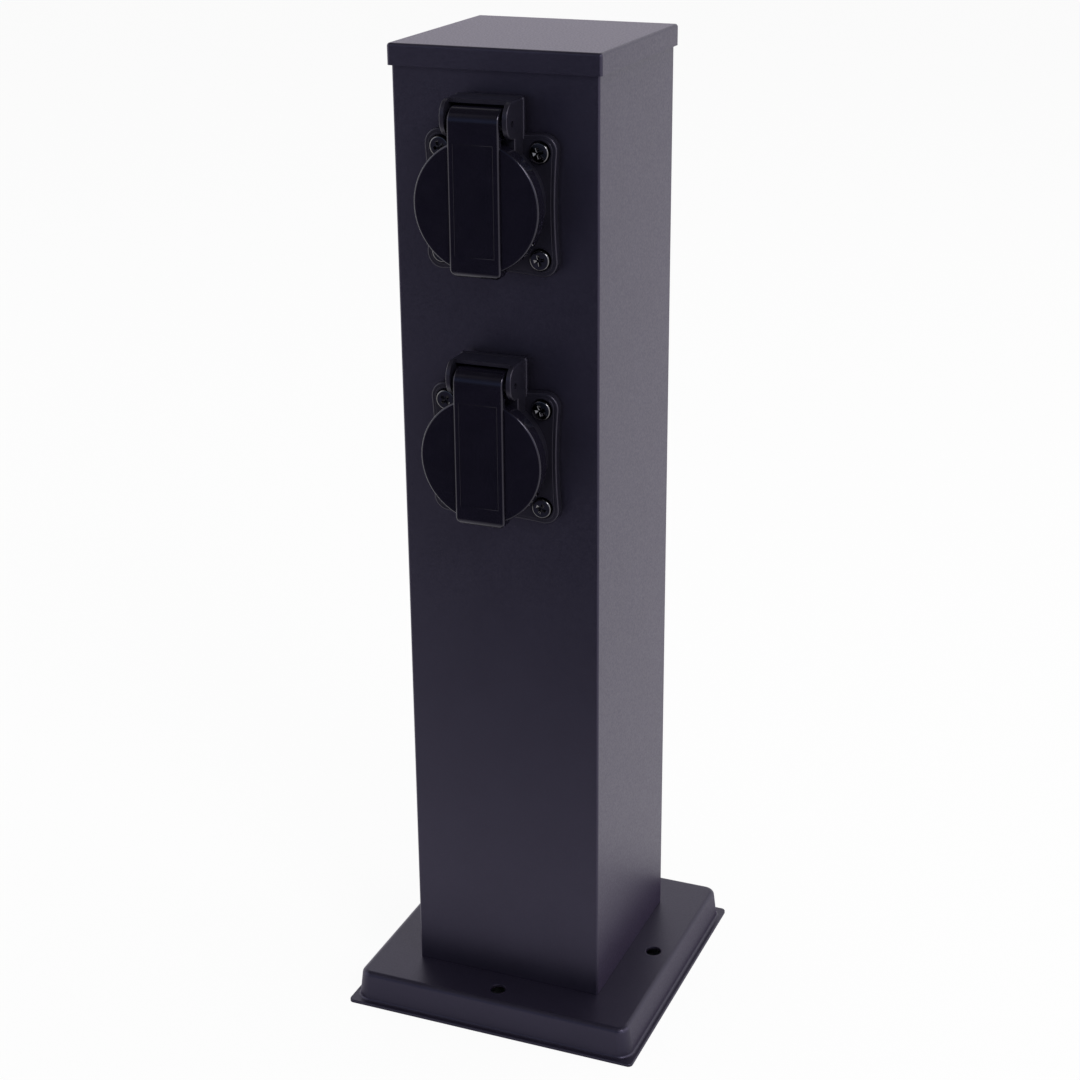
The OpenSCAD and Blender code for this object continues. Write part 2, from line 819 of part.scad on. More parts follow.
module bond_wire() {
    from = [stud_x + lug_d / 2, 0, frame_top + lug_t + wire_d / 2];
    to = [0, block_y, block_low - bare_gap];
    out = barrel_len + bare_gap;
    bend = [for (k = [0:wire_rings]) let (t = k / wire_rings)
        [from[0] + out + (to[0] - from[0] - out) * sin(90 * t), to[1] * (1 - cos(180 * t)) / 2,
            from[2] + (to[2] - from[2]) * (1 - cos(90 * t))]];
    core = core_d / 2;
    path = concat([from], bend, [to, to + [0, 0, bared]]);
    radii = concat([wire_d / 2], [for (p = bend) wire_d / 2], [core, core]);
    color([0.5, 0.6, 0.1])
        tube_along(path, radii, [0, 1, 0], tube_sides);
}

// Socket, drawn in its own frame

function flange_side(half, r) = let (run = half - r, big = (run * run + waist * waist) / (2 * waist),
    turn = asin(run / big)) arc(half - waist + big, 0, big, 180 + turn, 180 - turn);

function turned(points, a) = [for (p = points) [p[0] * cos(a) - p[1] * sin(a), p[0] * sin(a) + p[1] * cos(a)]];

function flange_line(half, r) = [for (a = [0:90:270])
    each concat(turned(flange_side(half, r), a), turned(arc(half - r, half - r, r, 0, 90), a))];

module ear_outline() {
    translate([ear_z, ear_y])
        circle(r = ear_r);
    translate([tower_back, ear_y - ear_r])
        square([ear_z - tower_back, 2 * ear_r]);
    translate([tower_back, tower_low])
        square([column_t, ear_y - tower_low]);
}

module hinge_tower() {
    for (s = [-1, 1])
        translate([s * (ear_in + ear_t / 2), 0, 0])
            across_x(ear_t)
                difference() {
                    ear_outline();
                    translate([hinge_z, hinge_y])
                        circle(r = pin_d / 2 + ear_fit);
                }
    across_x(2 * ear_in) {
        translate([tower_back, tower_low])
            square([tower_wall, tower_top - tower_low]);
        translate([tower_back, tower_top - hood_t])
            square([hinge_z - hood_back - tower_back, hood_t]);
        translate([tower_back, tower_low])
            square([ledge_t, ledge_top - tower_low]);
    }
}

module socket_body() {
    arm_top = collar_front - earth_short;
    rib_top = collar_front - rib_short;
    rib_x = well_r + join - rib_h / 2;
    color([0.05, 0.05, 0.06]) {
        difference() {
            union() {
                translate([0, -flange_drop, gasket_t])
                    linear_extrude(flange_t)
                        polygon(flange_line(flange_half, flange_r));
                translate([0, 0, gasket_t + flange_t / 2])
                    cylinder(r = collar_r, h = collar_front - gasket_t - flange_t / 2);
                translate([0, 0, well_back])
                    cylinder(r = barrel_r, h = gasket_t + flange_t / 2 - well_back);
                hinge_tower();
            }
            translate([0, 0, well_floor])
                cylinder(r = well_r, h = well_depth + join);
            for (x = [-pin_x, pin_x])
                translate([x, 0, well_back - join])
                    cylinder(d = pin_hole_d, h = floor_t + 2 * join);
            for (s = [-1, 1])
                translate([0, s * earth_y, (well_back + arm_top) / 2 + join])
                    cube([earth_w + 4 * contact_gap, earth_slot, arm_top - well_back + 4 * join], center = true);
            at_flange_screws() {
                translate([0, 0, gasket_t - join])
                    cylinder(d = screw_d + 2 * hole_gap, h = flange_t + 2 * join);
                translate([0, 0, seat_z])
                    cylinder(r = seat_r, h = seat_depth + join);
            }
            for (a = [carrier_screw_angle, carrier_screw_angle + 180])
                rotate([0, 0, a])
                    translate([carrier_screw_at, 0, well_back - join])
                        cylinder(d = carrier_screw_d + 2 * thread_gap, h = floor_t / 2 + 2 * join);
        }
        for (s = [-1, 1])
            intersection() {
                translate([s * rib_x, 0, (well_floor - join + rib_top) / 2])
                    cube([rib_h + 2 * join, rib_w, rib_top - well_floor + join], center = true);
                translate([0, 0, well_back])
                    cylinder(r = well_r + join, h = collar_front - well_back);
            }
    }
}

module carrier() {
    fit = 2 * contact_gap;
    color([0.25, 0.25, 0.27])
        difference() {
            translate([0, 0, carrier_back])
                cylinder(r = carrier_r, h = carrier_depth);
            for (x = [-pin_x, pin_x])
                translate([x, 0, carrier_back - join])
                    cylinder(r = tube_r + contact_gap, h = carrier_depth + 2 * join);
            for (x = [-pin_x, 0, pin_x])
                translate([x, 0, carrier_back])
                    cube([clamp_w + fit, clamp_w + fit, 2 * clamp_sink + fit], center = true);
            translate([0, 0, (carrier_back + well_back) / 2])
                cube([earth_w + fit, earth_w + fit, carrier_depth + 2 * join], center = true);
            translate([0, 0, well_back])
                cube([earth_w + fit, 2 * carrier_r + join, 2 * (earth_t + fit)], center = true);
            for (a = [carrier_screw_angle, carrier_screw_angle + 180])
                rotate([0, 0, a])
                    translate([carrier_screw_at, 0, carrier_back - join])
                        cylinder(d = carrier_screw_d + 2 * hole_gap, h = carrier_depth + 2 * join);
        }
}

// a brass clamp with a bore for the wire and a tapped hole for its screw
module wire_clamp() {
    difference() {
        translate([0, 0, (clamp_front + clamp_back) / 2])
            cube([clamp_w, clamp_w, clamp_h], center = true);
        translate([0, 0, wire_z])
            rotate([90, 0, 0])
                cylinder(d = clamp_bore, h = clamp_w + 2 * join, center = true);
        translate([0, 0, clamp_back - join])
            cylinder(d = clamp_screw_d + 2 * thread_gap, h = wire_z - clamp_back + join);
    }
}

module line_contacts() {
    color([0.8, 0.65, 0.3])
        for (x = [-pin_x, pin_x])
            translate([x, 0, 0]) {
                wire_clamp();
                difference() {
                    translate([0, 0, clamp_front])
                        cylinder(r = tube_r, h = well_back - contact_gap - clamp_front);
                    translate([0, 0, clamp_front + join])
                        cylinder(d = tube_bore, h = well_back - clamp_front);
                }
            }
}

module earth_spring() {
    half = earth_t / 2;
    tip = collar_front - earth_short;
    middle = (tip + well_floor) / 2;
    line = [[earth_back, earth_y], [well_floor, earth_y], [middle, earth_y - earth_bow], [tip, earth_y]];
    outer = [for (p = line) p + [0, half]];
    inner = [for (k = [3:-1:0]) line[k] - [0, half]];
    color([0.8, 0.65, 0.3]) {
        for (s = [0, 180])
            rotate([0, 0, s])
                across_x(earth_w)
                    polygon(concat(outer, inner));
        translate([0, 0, earth_back + half])
            cube([earth_w, 2 * earth_y + earth_t, earth_t], center = true);
        translate([0, 0, (earth_back + half + clamp_front) / 2])
            cube([earth_w, earth_w, earth_back + half - clamp_front], center = true);
        wire_clamp();
    }
}

module clamp_screws() {
    reach = wire_z - core_d / 2 - clamp_back - bare_gap;
    color([0.7, 0.71, 0.73])
        for (x = [-pin_x, 0, pin_x])
            translate([x, 0, clamp_back - bare_gap / 2])
                rotate([180, 0, 0])
                    slotted_screw(clamp_screw_d, reach, clamp_w / 2 - hole_gap, height_share * clamp_screw_d);
}

module carrier_screws() {
    color([0.7, 0.71, 0.73])
        for (a = [carrier_screw_angle, carrier_screw_angle + 180])
            rotate([0, 0, a])
                translate([carrier_screw_at, 0, carrier_back])
                    rotate([180, 0, 0])
                        plain_screw(carrier_screw_d, carrier_depth + floor_t / 2);
}

module gasket() {
    color([0.04, 0.04, 0.04])
        difference() {
            translate([0, -flange_drop, 0])
                linear_extrude(gasket_t)
                    polygon(flange_line(flange_half - gasket_in, flange_r - gasket_in));
            translate([0, 0, -join]) {
                cylinder(r = gasket_r, h = gasket_t + 2 * join);
                at_flange_screws()
                    cylinder(d = screw_d + 2 * hole_gap, h = gasket_t + 2 * join);
            }
        }
}

module flange_screws() {
    arm = screw_head_d / 4;
    cross_w = slot_share * screw_d;
    color([0.03, 0.03, 0.03])
        at_flange_screws()
            translate([0, 0, seat_z])
                difference() {
                    union() {
                        cylinder(d = screw_head_d, h = screw_head_h);
                        translate([0, 0, -screw_len])
                            cylinder(d = screw_d, h = screw_len + join);
                    }
                    for (a = [0, 90])
                        rotate([0, 0, a])
                            translate([0, 0, screw_head_h])
                                cube([2 * arm, cross_w, screw_head_h], center = true);
                }
}

module flange_nuts() {
    color([0.7, 0.71, 0.73])
        at_flange_screws()
            translate([0, 0, -post_wall - nut_t])
                nut(screw_d, nut_w, nut_t);
}

module strap_side() {
    tab_top = strap_low + tab_h;
    polygon(concat([[skirt_back, strap_low], [strap_front, strap_low]],
        arc(hinge_z, hinge_y, knuckle_r, 0, 270, 3 * arc_steps),
        [[strap_back, hinge_y - knuckle_r], [strap_back, tab_top], [skirt_back, tab_top]]));
}

module strap_front_view() {
    polygon(concat(arc(strap_r - strap_half, strap_low + strap_r, strap_r, 180, 270),
        arc(strap_half - strap_r, strap_low + strap_r, strap_r, 270, 360),
        [[strap_half, hinge_y + knuckle_r], [-strap_half, hinge_y + knuckle_r]]));
}

module lid() {
    reach = knuckle_r + join;
    color([0.03, 0.03, 0.03])
        difference() {
            union() {
                rotate_extrude()
                    polygon(concat([[0, skirt_back], [lid_r, skirt_back]],
                        arc(lid_r - lid_edge_r, lid_front - lid_edge_r, lid_edge_r, 0, 90), [[0, lid_front]]));
                intersection() {
                    across_x(strap_w)
                        strap_side();
                    translate([0, 0, hinge_z - knuckle_r])
                        linear_extrude(2 * knuckle_r)
                            strap_front_view();
                }
                across_x(2 * hub_half)
                    translate([hinge_z, hinge_y])
                        circle(r = hub_r);
            }
            translate([0, 0, skirt_back - join])
                cylinder(r = lid_bore_r, h = lid_inside - skirt_back + join);
            translate([-panel_w / 2, strap_low + panel_low, strap_front - panel_deep])
                cube([panel_w, panel_h, panel_deep + join]);
            across_x(2 * hub_half + 2 * join)
                translate([hinge_z, hinge_y])
                    circle(r = pin_d / 2 + pin_gap);
            across_x(slot_w)
                translate([hinge_z, hinge_y]) {
                    circle(r = slot_r);
                    polygon(concat([[0, 0]], arc(0, 0, reach, slot_from, slot_to, 3 * arc_steps)));
                }
        }
}

module lid_seal() {
    color([0.1, 0.1, 0.1])
        translate([0, 0, lid_inside - seal_t])
            linear_extrude(seal_t)
                difference() {
                    circle(r = seal_r);
                    circle(r = seal_r - seal_w);
                }
}

module hinge_pin() {
    color([0.7, 0.71, 0.73])
        translate([0, hinge_y, hinge_z])
            rotate([0, 90, 0])
                cylinder(d = pin_d, h = 2 * (ear_out - pin_short), center = true);
}

function coil_point(a) = [coil_len * ((a - coil_from) / (coil_to - coil_from) - 0.5),
    hinge_y + coil_r * sin(a), hinge_z + coil_r * cos(a)];

// the fixed leg lies on the ledge, the moving leg presses the knuckle's lip
function spring_path() = let (turns = round((coil_to - coil_from) / 360 * coil_steps),
    coil = [for (k = [0:turns]) coil_point(coil_from + (coil_to - coil_from) * k / turns)],
    foot = [coil[0][0], coil[0][1], tower_back + tower_wall + leg_gap],
    tip = coil[turns] + leg_len * [0, cos(coil_to), -sin(coil_to)])
    concat([foot, (foot + coil[0]) / 2], coil, [(tip + coil[turns]) / 2, tip]);

// least clear distance between points of the wire that lie more than half a turn apart
function self_gap(path) = min([for (i = [0:len(path) - 1], k = [i + round(coil_steps / 2):1:len(path) - 1])
    norm(path[i] - path[k])]) - spring_wire;

module lid_spring() {
    path = spring_path();
    echo(spring_self_gap = self_gap(path));
    color([0.75, 0.76, 0.78])
        tube_along(path, [for (p = path) spring_wire / 2], [1, 0, 0], 6);
}

// Nodes

post_tube();
top_cap();
cap_screws();
base_plate();
foot_frame();
foot_screws();
cable_grommet();
terminal_bracket();
bracket_screws();
terminal_block();
terminal_sleeves();
sleeve_screws();
block_screws();
earth_stud();
earth_lug();
earth_nut();
feed_live();
feed_neutral();
feed_earth();
link_live();
link_neutral();
link_earth();
bond_wire();
at_socket(upper_z) socket_body();  // upper_socket_body
at_socket(upper_z) carrier();  // upper_carrier
at_socket(upper_z) line_contacts();  // upper_line_contacts
at_socket(upper_z) earth_spring();  // upper_earth_spring
at_socket(upper_z) clamp_screws();  // upper_clamp_screws
at_socket(upper_z) carrier_screws();  // upper_carrier_screws
at_socket(upper_z) gasket();  // upper_gasket
at_socket(upper_z) flange_screws();  // upper_flange_screws
at_socket(upper_z) flange_nuts();  // upper_flange_nuts
at_socket(upper_z) lid();  // upper_lid
at_socket(upper_z) lid_seal();  // upper_lid_seal
at_socket(upper_z) hinge_pin();  // upper_hinge_pin
at_socket(upper_z) lid_spring();  // upper_lid_spring
at_socket(lower_z) socket_body();  // lower_socket_body
at_socket(lower_z) carrier();  // lower_carrier
at_socket(lower_z) line_contacts();  // lower_line_contacts
at_socket(lower_z) earth_spring();  // lower_earth_spring
at_socket(lower_z) clamp_screws();  // lower_clamp_screws
at_socket(lower_z) carrier_screws();  // lower_carrier_screws
at_socket(lower_z) gasket();  // lower_gasket
at_socket(lower_z) flange_screws();  // lower_flange_screws
at_socket(lower_z) flange_nuts();  // lower_flange_nuts
at_socket(lower_z) lid();  // lower_lid
at_socket(lower_z) lid_seal();  // lower_lid_seal
at_socket(lower_z) hinge_pin();  // lower_hinge_pin
at_socket(lower_z) lid_spring();  // lower_lid_spring
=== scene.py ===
import bpy
import bmesh
import math
from mathutils import Matrix, Vector


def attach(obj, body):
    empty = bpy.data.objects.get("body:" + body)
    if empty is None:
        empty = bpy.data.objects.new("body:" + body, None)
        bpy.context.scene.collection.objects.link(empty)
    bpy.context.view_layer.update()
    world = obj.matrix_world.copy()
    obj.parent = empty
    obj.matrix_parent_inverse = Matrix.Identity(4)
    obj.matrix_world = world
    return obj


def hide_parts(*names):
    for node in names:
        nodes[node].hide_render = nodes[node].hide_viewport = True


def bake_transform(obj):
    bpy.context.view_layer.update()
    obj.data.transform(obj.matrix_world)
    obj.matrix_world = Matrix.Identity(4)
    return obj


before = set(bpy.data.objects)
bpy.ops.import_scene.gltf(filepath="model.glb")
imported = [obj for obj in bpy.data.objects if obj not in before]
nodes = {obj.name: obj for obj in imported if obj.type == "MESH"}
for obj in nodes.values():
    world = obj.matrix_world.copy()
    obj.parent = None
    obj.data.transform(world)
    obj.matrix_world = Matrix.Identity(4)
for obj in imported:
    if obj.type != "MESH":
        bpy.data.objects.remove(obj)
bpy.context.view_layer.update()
scene = bpy.context.scene
scene.view_settings.view_transform = "Standard"
print("frame loaded:", len(nodes), "nodes")

mm = 0.001
wholeTurn = 2 * math.pi
standing = Matrix.Scale(mm, 4)    # pieces are modelled in millimetres
ahead = Matrix.Rotation(math.radians(90), 4, "X")    # turns z to point out of the post's front
backwards = Matrix.Rotation(math.radians(-90), 4, "X")    # and out of its back
crossways = Matrix.Rotation(math.radians(90), 4, "Y")    # and to its right
corners = [(x, y) for x in (-1, 1) for y in (-1, 1)]    # signs of the four corners of a square
weld = 0.0005    # points nearer than this are one
close = 0.01    # places nearer than this are level
past = 1    # how far a cutting shell stands past what it cuts
through = 8    # length of a bar that cuts a hole in sheet
smoothTo = math.radians(32)    # sharper edges stay sharp


# Camera, at the photograph's place

cameraSet = {"aim": (-0.238, 0, 197.261), "away": 840.275, "azimuth": 22.368, "rise": 21.411, "roll": -0.492,
             "lens": 68.65, "sensor": 36}


def makeCamera(s):
    turn, rise, roll = (math.radians(s[k]) for k in ("azimuth", "rise", "roll"))
    back = Vector((math.sin(turn) * math.cos(rise), -math.cos(turn) * math.cos(rise), math.sin(rise)))
    level = Vector((math.cos(turn), math.sin(turn), 0))
    upright = back.cross(level)
    right = level * math.cos(roll) + upright * math.sin(roll)
    up = upright * math.cos(roll) - level * math.sin(roll)
    camera = bpy.data.objects.new("camera", bpy.data.cameras.new("camera"))
    camera.data.lens = s["lens"]
    camera.data.sensor_width = s["sensor"]
    camera.matrix_world = Matrix.Translation((Vector(s["aim"]) + back * s["away"]) * mm) @ Matrix(
        (right, up, back)).transposed().to_4x4()
    scene.collection.objects.link(camera)
    scene.camera = camera


makeCamera(cameraSet)
print("camera placed")


# Finishes

def noise(tree, coords, scale, detail=2, rough=0.5):
    n = tree.nodes.new("ShaderNodeTexNoise")
    n.inputs["Scale"].default_value = scale
    n.inputs["Detail"].default_value = detail
    n.inputs["Roughness"].default_value = rough
    tree.links.new(coords, n.inputs["Vector"])
    return n.outputs["Fac"]


def spread(tree, value, low, high, fromLow=0.3, fromHigh=0.7):
    n = tree.nodes.new("ShaderNodeMapRange")
    for name, number in (("From Min", fromLow), ("From Max", fromHigh), ("To Min", low), ("To Max", high)):
        n.inputs[name].default_value = number
    tree.links.new(value, n.inputs["Value"])
    return n.outputs["Result"]


def between(tree, share, first, second):
    n = tree.nodes.new("ShaderNodeMix")
    n.data_type = "RGBA"
    tree.links.new(share, n.inputs["Factor"])
    for socket, colour in ((n.inputs["A"], first), (n.inputs["B"], second)):
        if isinstance(colour, tuple):
            socket.default_value = (*colour, 1)
        else:
            tree.links.new(colour, socket)
    return n.outputs["Result"]


def relief(tree, height, depth, under=None):
    n = tree.nodes.new("ShaderNodeBump")
    n.inputs["Strength"].default_value = 1
    n.inputs["Distance"].default_value = depth
    tree.links.new(height, n.inputs["Height"])
    if under:
        tree.links.new(under, n.inputs["Normal"])
    return n.outputs["Normal"]


def stretched(tree, coords, scale):
    n = tree.nodes.new("ShaderNodeMapping")
    n.inputs["Scale"].default_value = scale
    tree.links.new(coords, n.inputs["Vector"])
    return n.outputs["Vector"]


def reckon(tree, how, first, second):
    n = tree.nodes.new("ShaderNodeMath")
    n.operation = how
    for socket, value in zip(n.inputs, (first, second)):
        if isinstance(value, (int, float)):
            socket.default_value = value
        else:
            tree.links.new(value, socket)
    return n.outputs[0]


def mixed(tree, share, first, second):
    n = tree.nodes.new("ShaderNodeMixShader")
    for socket, value in zip(n.inputs, (share, first, second)):
        tree.links.new(value, socket)
    return n.outputs[0]


def parted(tree, coords):
    n = tree.nodes.new("ShaderNodeSeparateXYZ")
    tree.links.new(coords, n.inputs[0])
    return n.outputs


sheenSoft = 0.35
fleckSpan = (0.62, 0.74)    # only the peaks of the noise are flecks
stripeSpan = (-0.05, 0.05)    # the narrow seam between a wire's two colours


# one tree for every finish: cloudy colour and gloss, with fine grain and slow waves in the surface
def makeFinish(name, s):
    finish = bpy.data.materials.new(name)
    finish.use_nodes = True
    tree = finish.node_tree
    shader = tree.nodes["Principled BSDF"]
    coords = tree.nodes.new("ShaderNodeTexCoord").outputs["Object"]
    shader.inputs["Metallic"].default_value = s.get("metal", 0)
    shader.inputs["Specular IOR Level"].default_value = s.get("specular", 0.5)
    shader.inputs["Specular Tint"].default_value = (*s.get("tint", (1, 1, 1)), 1)
    shader.inputs["Sheen Weight"].default_value = s.get("sheen", 0)
    shader.inputs["Sheen Roughness"].default_value = sheenSoft
    shader.inputs["Sheen Tint"].default_value = (*s.get("sheenTint", (1, 1, 1)), 1)
    cloud = noise(tree, coords, s["cloudScale"], detail=4)
    colour = between(tree, spread(tree, cloud, 0, 1), s["dark"], s["light"])
    if "fleck" in s:
        fleck = noise(tree, coords, s["fleckScale"], detail=1)
        colour = between(tree, spread(tree, fleck, 0, 1, *fleckSpan), colour, s["fleck"])
    tree.links.new(colour, shader.inputs["Base Color"])
    rubbed = stretched(tree, coords, s.get("rubbed", (1, 1, 1)))
    smear = noise(tree, rubbed, s["smearScale"], detail=3, rough=0.6)
    tree.links.new(spread(tree, smear, *s["gloss"]), shader.inputs["Roughness"])
    normal = relief(tree, noise(tree, coords, s["waveScale"], detail=1), s["waveDepth"])
    normal = relief(tree, noise(tree, rubbed, s["grainScale"]), s["grainDepth"], normal)
    tree.links.new(normal, shader.inputs["Normal"])
    return finish


coatSet = {"dark": (0.0076, 0.007, 0.0122), "light": (0.0098, 0.009, 0.0154), "cloudScale": 45,
           "fleck": (0.0155, 0.0142, 0.0235), "fleckScale": 2600, "specular": 0.74,
           "tint": (0.74, 0.66, 1), "sheen": 0.1, "sheenTint": (0.6, 0.25, 1), "gloss": (0.32, 0.47),
           "smearScale": 1300, "waveScale": 120, "waveDepth": 6e-6, "grainScale": 2300,
           "grainDepth": 1.4e-5}
socketSet = {"dark": (0.0083, 0.0077, 0.0127), "light": (0.0109, 0.0102, 0.0166), "cloudScale": 160,
             "specular": 0.5, "tint": (0.86, 0.78, 1), "gloss": (0.3, 0.38), "smearScale": 260,
             "waveScale": 130, "waveDepth": 1e-5, "grainScale": 3200, "grainDepth": 7e-6}
lidSet = {"dark": (0.0038, 0.0033, 0.0066), "light": (0.005, 0.0043, 0.0086), "cloudScale": 120,
          "specular": 0.5, "tint": (0.86, 0.8, 1), "gloss": (0.12, 0.19), "smearScale": 150,
          "waveScale": 70, "waveDepth": 1.6e-5, "grainScale": 2600, "grainDepth": 1.2e-6}
rubberSet = {"dark": (0.0062, 0.006, 0.0082), "light": (0.0105, 0.01, 0.0135), "cloudScale": 220,
             "specular": 0.3, "gloss": (0.5, 0.62), "smearScale": 300, "waveScale": 160,
             "waveDepth": 1.5e-5, "grainScale": 2400, "grainDepth": 1e-5}
blackScrewSet = {"dark": (0.13, 0.125, 0.13), "light": (0.17, 0.165, 0.17), "cloudScale": 700, "metal": 1,
                 "gloss": (0.08, 0.13), "smearScale": 900, "waveScale": 500, "waveDepth": 6e-6,
                 "grainScale": 5000, "grainDepth": 2e-6}
zincSet = {"dark": (0.52, 0.53, 0.55), "light": (0.66, 0.67, 0.68), "cloudScale": 300, "metal": 1,
           "gloss": (0.24, 0.4), "smearScale": 500, "waveScale": 350, "waveDepth": 5e-6,
           "grainScale": 4000, "grainDepth": 4e-6}
pinSet = {"dark": (0.05, 0.05, 0.055), "light": (0.07, 0.07, 0.075), "cloudScale": 600, "metal": 1,
          "gloss": (0.18, 0.3), "smearScale": 900, "rubbed": (0.15, 1, 1), "waveScale": 500,
          "waveDepth": 3e-6, "grainScale": 4200, "grainDepth": 4e-6}
springSet = {"dark": (0.06, 0.06, 0.065), "light": (0.09, 0.09, 0.095), "cloudScale": 900, "metal": 1,
             "gloss": (0.22, 0.34), "smearScale": 1200, "waveScale": 700, "waveDepth": 3e-6,
             "grainScale": 5200, "grainDepth": 3e-6}
brassSet = {"dark": (0.62, 0.42, 0.14), "light": (0.76, 0.56, 0.24), "cloudScale": 350, "metal": 1,
            "gloss": (0.22, 0.36), "smearScale": 420, "rubbed": (1, 0.2, 1), "waveScale": 300,
            "waveDepth": 5e-6, "grainScale": 3800, "grainDepth": 4e-6}
tinSet = {"dark": (0.6, 0.6, 0.58), "light": (0.72, 0.72, 0.7), "cloudScale": 320, "metal": 1,
          "gloss": (0.26, 0.42), "smearScale": 420, "waveScale": 300, "waveDepth": 5e-6,
          "grainScale": 3600, "grainDepth": 4e-6}
carrierSet = {"dark": (0.045, 0.045, 0.05), "light": (0.06, 0.06, 0.065), "cloudScale": 200,
              "gloss": (0.42, 0.54), "smearScale": 260, "waveScale": 200, "waveDepth": 1e-5,
              "grainScale": 3000, "grainDepth": 8e-6}
blockSet = {"dark": (0.68, 0.67, 0.62), "light": (0.76, 0.75, 0.7), "cloudScale": 150,
            "gloss": (0.36, 0.48), "smearScale": 260, "waveScale": 160, "waveDepth": 1e-5,
            "grainScale": 2800, "grainDepth": 7e-6}


# wires: coloured insulation, striped along the wire where two colours are given, and bare copper at the ends
def makeWire(name, s):
    finish = makeFinish(name, s)
    tree = finish.node_tree
    shader = tree.nodes["Principled BSDF"]
    spots = tree.nodes.new("ShaderNodeTexCoord").outputs
    colour = shader.inputs["Base Color"].links[0].from_socket
    if "stripe" in s:
        side = parted(tree, spots["Normal"])[0]
        colour = between(tree, spread(tree, side, 0, 1, *stripeSpan), colour, s["stripe"])
    height = parted(tree, spots["Object"])[2]
    low, high = (z * mm for z in s["bare"])
    bare = reckon(tree, "MAXIMUM", reckon(tree, "LESS_THAN", height, low),
                  reckon(tree, "GREATER_THAN", height, high))
    tree.links.new(between(tree, bare, colour, s["copper"]), shader.inputs["Base Color"])
    tree.links.new(bare, shader.inputs["Metallic"])
    return finish


wireSet = {"cloudScale": 260, "gloss": (0.36, 0.48), "smearScale": 500, "waveScale": 300, "waveDepth": 8e-6,
           "grainScale": 3600, "grainDepth": 5e-6, "copper": (0.72, 0.36, 0.2)}
brownSet = {**wireSet, "dark": (0.15, 0.065, 0.03), "light": (0.19, 0.085, 0.042)}
blueSet = {**wireSet, "dark": (0.025, 0.1, 0.37), "light": (0.035, 0.13, 0.44)}
earthSet = {**wireSet, "dark": (0.03, 0.24, 0.05), "light": (0.045, 0.3, 0.07), "stripe": (0.75, 0.6, 0.04)}
# heights between which a wire is insulated
feedBare, linkBare, bondBare = (63.6, 246.1), (253.9, 342.1), (0, 44.4)

coat = makeFinish("coat", coatSet)
socketPlastic = makeFinish("socketPlastic", socketSet)
lidPlastic = makeFinish("lidPlastic", lidSet)
rubber = makeFinish("rubber", rubberSet)
blackScrew = makeFinish("blackScrew", blackScrewSet)
zinc = makeFinish("zinc", zincSet)
pinSteel = makeFinish("pinSteel", pinSet)
springSteel = makeFinish("springSteel", springSet)
brass = makeFinish("brass", brassSet)
tin = makeFinish("tin", tinSet)
carrierPlastic = makeFinish("carrierPlastic", carrierSet)
blockPlastic = makeFinish("blockPlastic", blockSet)
wires = {name: makeWire(name, {**s, "bare": bare}) for name, s, bare in (
    ("feed_live", brownSet, feedBare), ("feed_neutral", blueSet, feedBare),
    ("feed_earth", earthSet, feedBare), ("link_live", brownSet, linkBare),
    ("link_neutral", blueSet, linkBare), ("link_earth", earthSet, linkBare),
    ("bond_wire", earthSet, bondBare))}
print("finishes made")


# Working with shells

# a square face with rounded corners
def roundedSquare(bm, half, r, z, steps=10):
    known = set(bm.faces)
    made = bmesh.ops.create_grid(bm, x_segments=1, y_segments=1, size=half,
                                 matrix=Matrix.Translation((0, 0, z)))
    bmesh.ops.bevel(bm, geom=made["verts"], offset=r, offset_type="OFFSET", segments=steps, profile=0.5,
                    affect="VERTICES", material=-1)
    return [f for f in bm.faces if f not in known]


def extruded(bm, faces, way):
    made = bmesh.ops.extrude_face_region(bm, geom=faces)["geom"]
    bmesh.ops.translate(bm, vec=way, verts=[g for g in made if isinstance(g, bmesh.types.BMVert)])
    return [g for g in made if isinstance(g, bmesh.types.BMFace)]


# rounds the edges that the test picks
def rounded(bm, test, r, steps=4):
    bm.normal_update()
    edges = [e for e in bm.edges if len(e.link_faces) == 2 and test(e)]
    bmesh.ops.bevel(bm, geom=edges, offset=r, offset_type="OFFSET", segments=steps, profile=0.5,
                    affect="EDGES", clamp_overlap=True, material=-1)


def sharp(e, degrees=40):
    return e.calc_face_angle(0) > math.radians(degrees)


def level(e, z):
    return all(abs(v.co.z - z) < close for v in e.verts)


def sameX(e):
    return abs(e.verts[0].co.x - e.verts[1].co.x) < close


# an outline of (radius, height) turned round the z axis
def turned(bm, outline, steps=96, closed=False):
    verts = [bm.verts.new((r, 0, z)) for r, z in outline]
    ends = verts[1:] + verts[:1] if closed else verts[1:]
    edges = [bm.edges.new(pair) for pair in zip(verts, ends)]
    bmesh.ops.spin(bm, geom=verts + edges, cent=(0, 0, 0), axis=(0, 0, 1), dvec=(0, 0, 0), angle=wholeTurn,
                   steps=steps, use_merge=True)
    bmesh.ops.remove_doubles(bm, verts=bm.verts, dist=weld)
    bmesh.ops.recalc_face_normals(bm, faces=bm.faces)


# points of a side view on an arc round (z, y), its turn given in degrees
def arc(z, y, r, start, end, steps):
    turns = [math.radians(start + (end - start) * n / steps) for n in range(steps + 1)]
    return [(z + r * math.cos(a), y + r * math.sin(a)) for a in turns]


# a side view of (outward, up) points, drawn out across x from low to high
def drawnAcross(bm, outline, low, high):
    verts = [bm.verts.new((low, y, z)) for z, y in outline]
    face = bm.faces.new(verts)
    extruded(bm, [face], (high - low, 0, 0))
    bmesh.ops.recalc_face_normals(bm, faces=bm.faces)


def roundBar(r, length, place, steps=48):
    bm = bmesh.new()
    bmesh.ops.create_cone(bm, cap_ends=True, segments=steps, radius1=r, radius2=r, depth=length,
                          matrix=place)
    return bm


